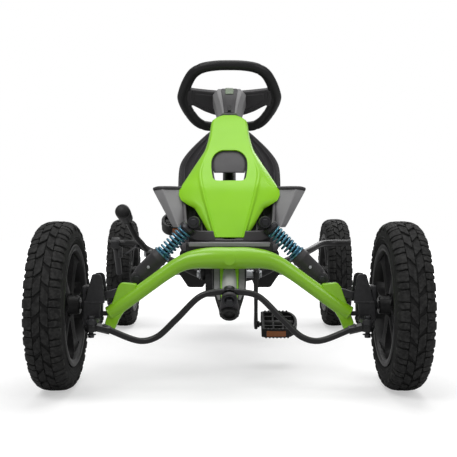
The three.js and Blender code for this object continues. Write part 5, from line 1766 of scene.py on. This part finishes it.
# ---------------------------------------------------------------- hand brake
def hand_brake():
    lever = Shape()
    lever.add(*tube_with_axis((-220, 68, 262), (-1, 0, 0), 12.5, 0, 16, 5.4, 1.4))
    stalk = [(-230, 68, 266), (-242, 66, 284), (-262, 60, 308), (-280, 44, 344),
             (-285, 24, 361)]
    lever.add(*swept(smooth_path(stalk, 5), 8, 24))
    lever.piece("brake_lever_bent", "brake_lever", node="brake_lever", material=FRAME_BLACK,
                flat=38)
    bolt = Shape()
    bolt_shape(bolt, (-236, 68, 262), (-1, 0, 0), 8, 5)
    bolt.piece("brake_pivot_bolt", "chassis", material=STEEL, flat=30)

    grip = Shape()
    start = Vector((-285.5, 18, 364))
    along = Vector((0, -0.978, 0.208)).normalized()
    path = [start + along * (100 * k / 60) for k in range(61)]

    def swell(t):
        base = 15.5 + 4.6 * math.sin(min(1, t * 1.25) * math.pi * 0.55)
        base -= 9 * max(0, t - 0.9) ** 1.1 * 6
        groove = 0.9 * (0.5 + 0.5 * math.cos(t * 2 * math.pi * 11)) if 0.12 < t < 0.86 else 0
        collar = 1.6 if t < 0.04 else 0
        return base - groove + collar
    grip.add(*swept(path, swell, 32, round_ends=2.5))
    grip.piece("brake_grip_ribbed", "brake_lever", node="brake_grip", material=GRIP_RUBBER)

    rod = Shape()
    rod.add(*swept([(-260, 66, 286), (-318, 222, 254)], 3.4, 16, round_ends=0.8))
    clevis = Vector((-58, 156, -32)).normalized()
    rod.add(*tube_with_axis((-260, 66, 286), clevis, 5.2, 2, 18, 0, 0.8))
    rod.add(*tube_with_axis((-318, 222, 254), clevis, 5.0, -22, -6, 0, 0.8))
    rod.piece("brake_pull_rod", "brake_rod", node="brake_rod", material=DARK_STEEL, flat=35)

    shoe = Shape()
    shoe.add(*tube_with_axis((-345, 225, 288), (1, 0, 0), 18, -12, 12, 11, 1.6))
    across = Matrix(((0, 0, 1, 0), (1, 0, 0, 0), (0, 1, 0, 0), (0, 0, 0, 1)))
    lug_plate = rounded([(218, 243), (232, 243), (234, 276), (217, 276)], 4)
    shoe.add(*slab(lug_plate, -337, -325.5, across, inset=1.2))
    arm = [(-345, 232, 274), (-345, 262, 240), (-345, 290, 204), (-345, 299, 190)]
    shoe.add(*swept(smooth_path(arm, 5), 9.5, 20, round_ends=2))
    shoe.piece("brake_arm_cast", "brake_shoe", node="brake_shoe", material=CAST_GREY, flat=35)


hand_brake()


# ---------------------------------------------------------------- floor, light and camera
def studio_floor():
    mesh = bpy.data.meshes.new("floor")
    half = 9.0
    mesh.from_pydata([(-half, -half, 0), (half, -half, 0), (half, half, 0), (-half, half, 0)],
                     [], [(0, 1, 2, 3)])
    floor = bpy.data.objects.new("floor", mesh)
    bpy.context.collection.objects.link(floor)
    finish = Finish("floor_paper", (0.58, 0.58, 0.58), 0.75, specular=0.2)
    grain = finish.effect(ORANGE_PEEL, Scale=60.0, Specks=0.1)
    finish.tint(grain.outputs["Shade"], (0.56, 0.56, 0.56))
    tree = finish.tree
    rays = tree.nodes.new("ShaderNodeLightPath")  # bright paper that fades to white far off
    spot = tree.nodes.new("ShaderNodeTexCoord")
    reach = tree.nodes.new("ShaderNodeVectorMath")
    reach.operation = "LENGTH"
    tree.links.new(spot.outputs["Object"], reach.inputs[0])
    fade = range_node(tree, reach.outputs["Value"], 1.0, 2.7, 0.46, 1.1)
    seen = math_node(tree, "MULTIPLY", fade, rays.outputs["Is Camera Ray"])
    finish.shader.inputs["Emission Color"].default_value = (1, 1, 1, 1)
    tree.links.new(seen, finish.shader.inputs["Emission Strength"])
    mesh.materials.append(finish.material)


def soft_light(name, spot, target, size, power):
    data = bpy.data.lights.new(name, "AREA")
    data.shape = "RECTANGLE"
    data.size, data.size_y = size
    data.energy = power
    light = bpy.data.objects.new(name, data)
    bpy.context.collection.objects.link(light)
    light.location = spot
    light.rotation_euler = (Vector(target) - Vector(spot)).to_track_quat("-Z", "Y").to_euler()


studio_floor()
soft_light("key", (-1.5, -2.4, 3.2), (0, -0.1, 0.3), (2.2, 1.4), 52)
soft_light("fill", (2.4, -2.4, 2.2), (0, -0.2, 0.35), (2.0, 1.6), 26)
soft_light("top", (0.2, 0.4, 3.8), (0, 0, 0), (3.0, 2.6), 66)
soft_light("back", (0.8, 3.0, 2.2), (0, 0.2, 0.4), (2.6, 1.4), 34)

world = bpy.data.worlds.new("studio")  # white behind the kart, dimmer as a light
world.use_nodes = True
rays = world.node_tree.nodes.new("ShaderNodeLightPath")
strength = range_node(world.node_tree, rays.outputs["Is Camera Ray"], 0, 1, 0.42, 1.0)
background = world.node_tree.nodes["Background"]
background.inputs["Color"].default_value = (1, 1, 1, 1)
world.node_tree.links.new(strength, background.inputs["Strength"])
bpy.context.scene.world = world
bpy.context.scene.view_settings.view_transform = "Standard"

CAMERA_PLACE = (0, -2.2245, 0.3723)
CAMERA_NOD = 0.0163  # radians below level
camera_data = bpy.data.cameras.new("camera")
camera_data.sensor_width = 36
camera_data.lens = 63.51
camera_data.shift_x = -0.0018
camera = bpy.data.objects.new("camera", camera_data)
bpy.context.collection.objects.link(camera)
camera.location = CAMERA_PLACE
camera.rotation_euler = (math.pi / 2 - CAMERA_NOD, 0, 0)
bpy.context.scene.camera = camera
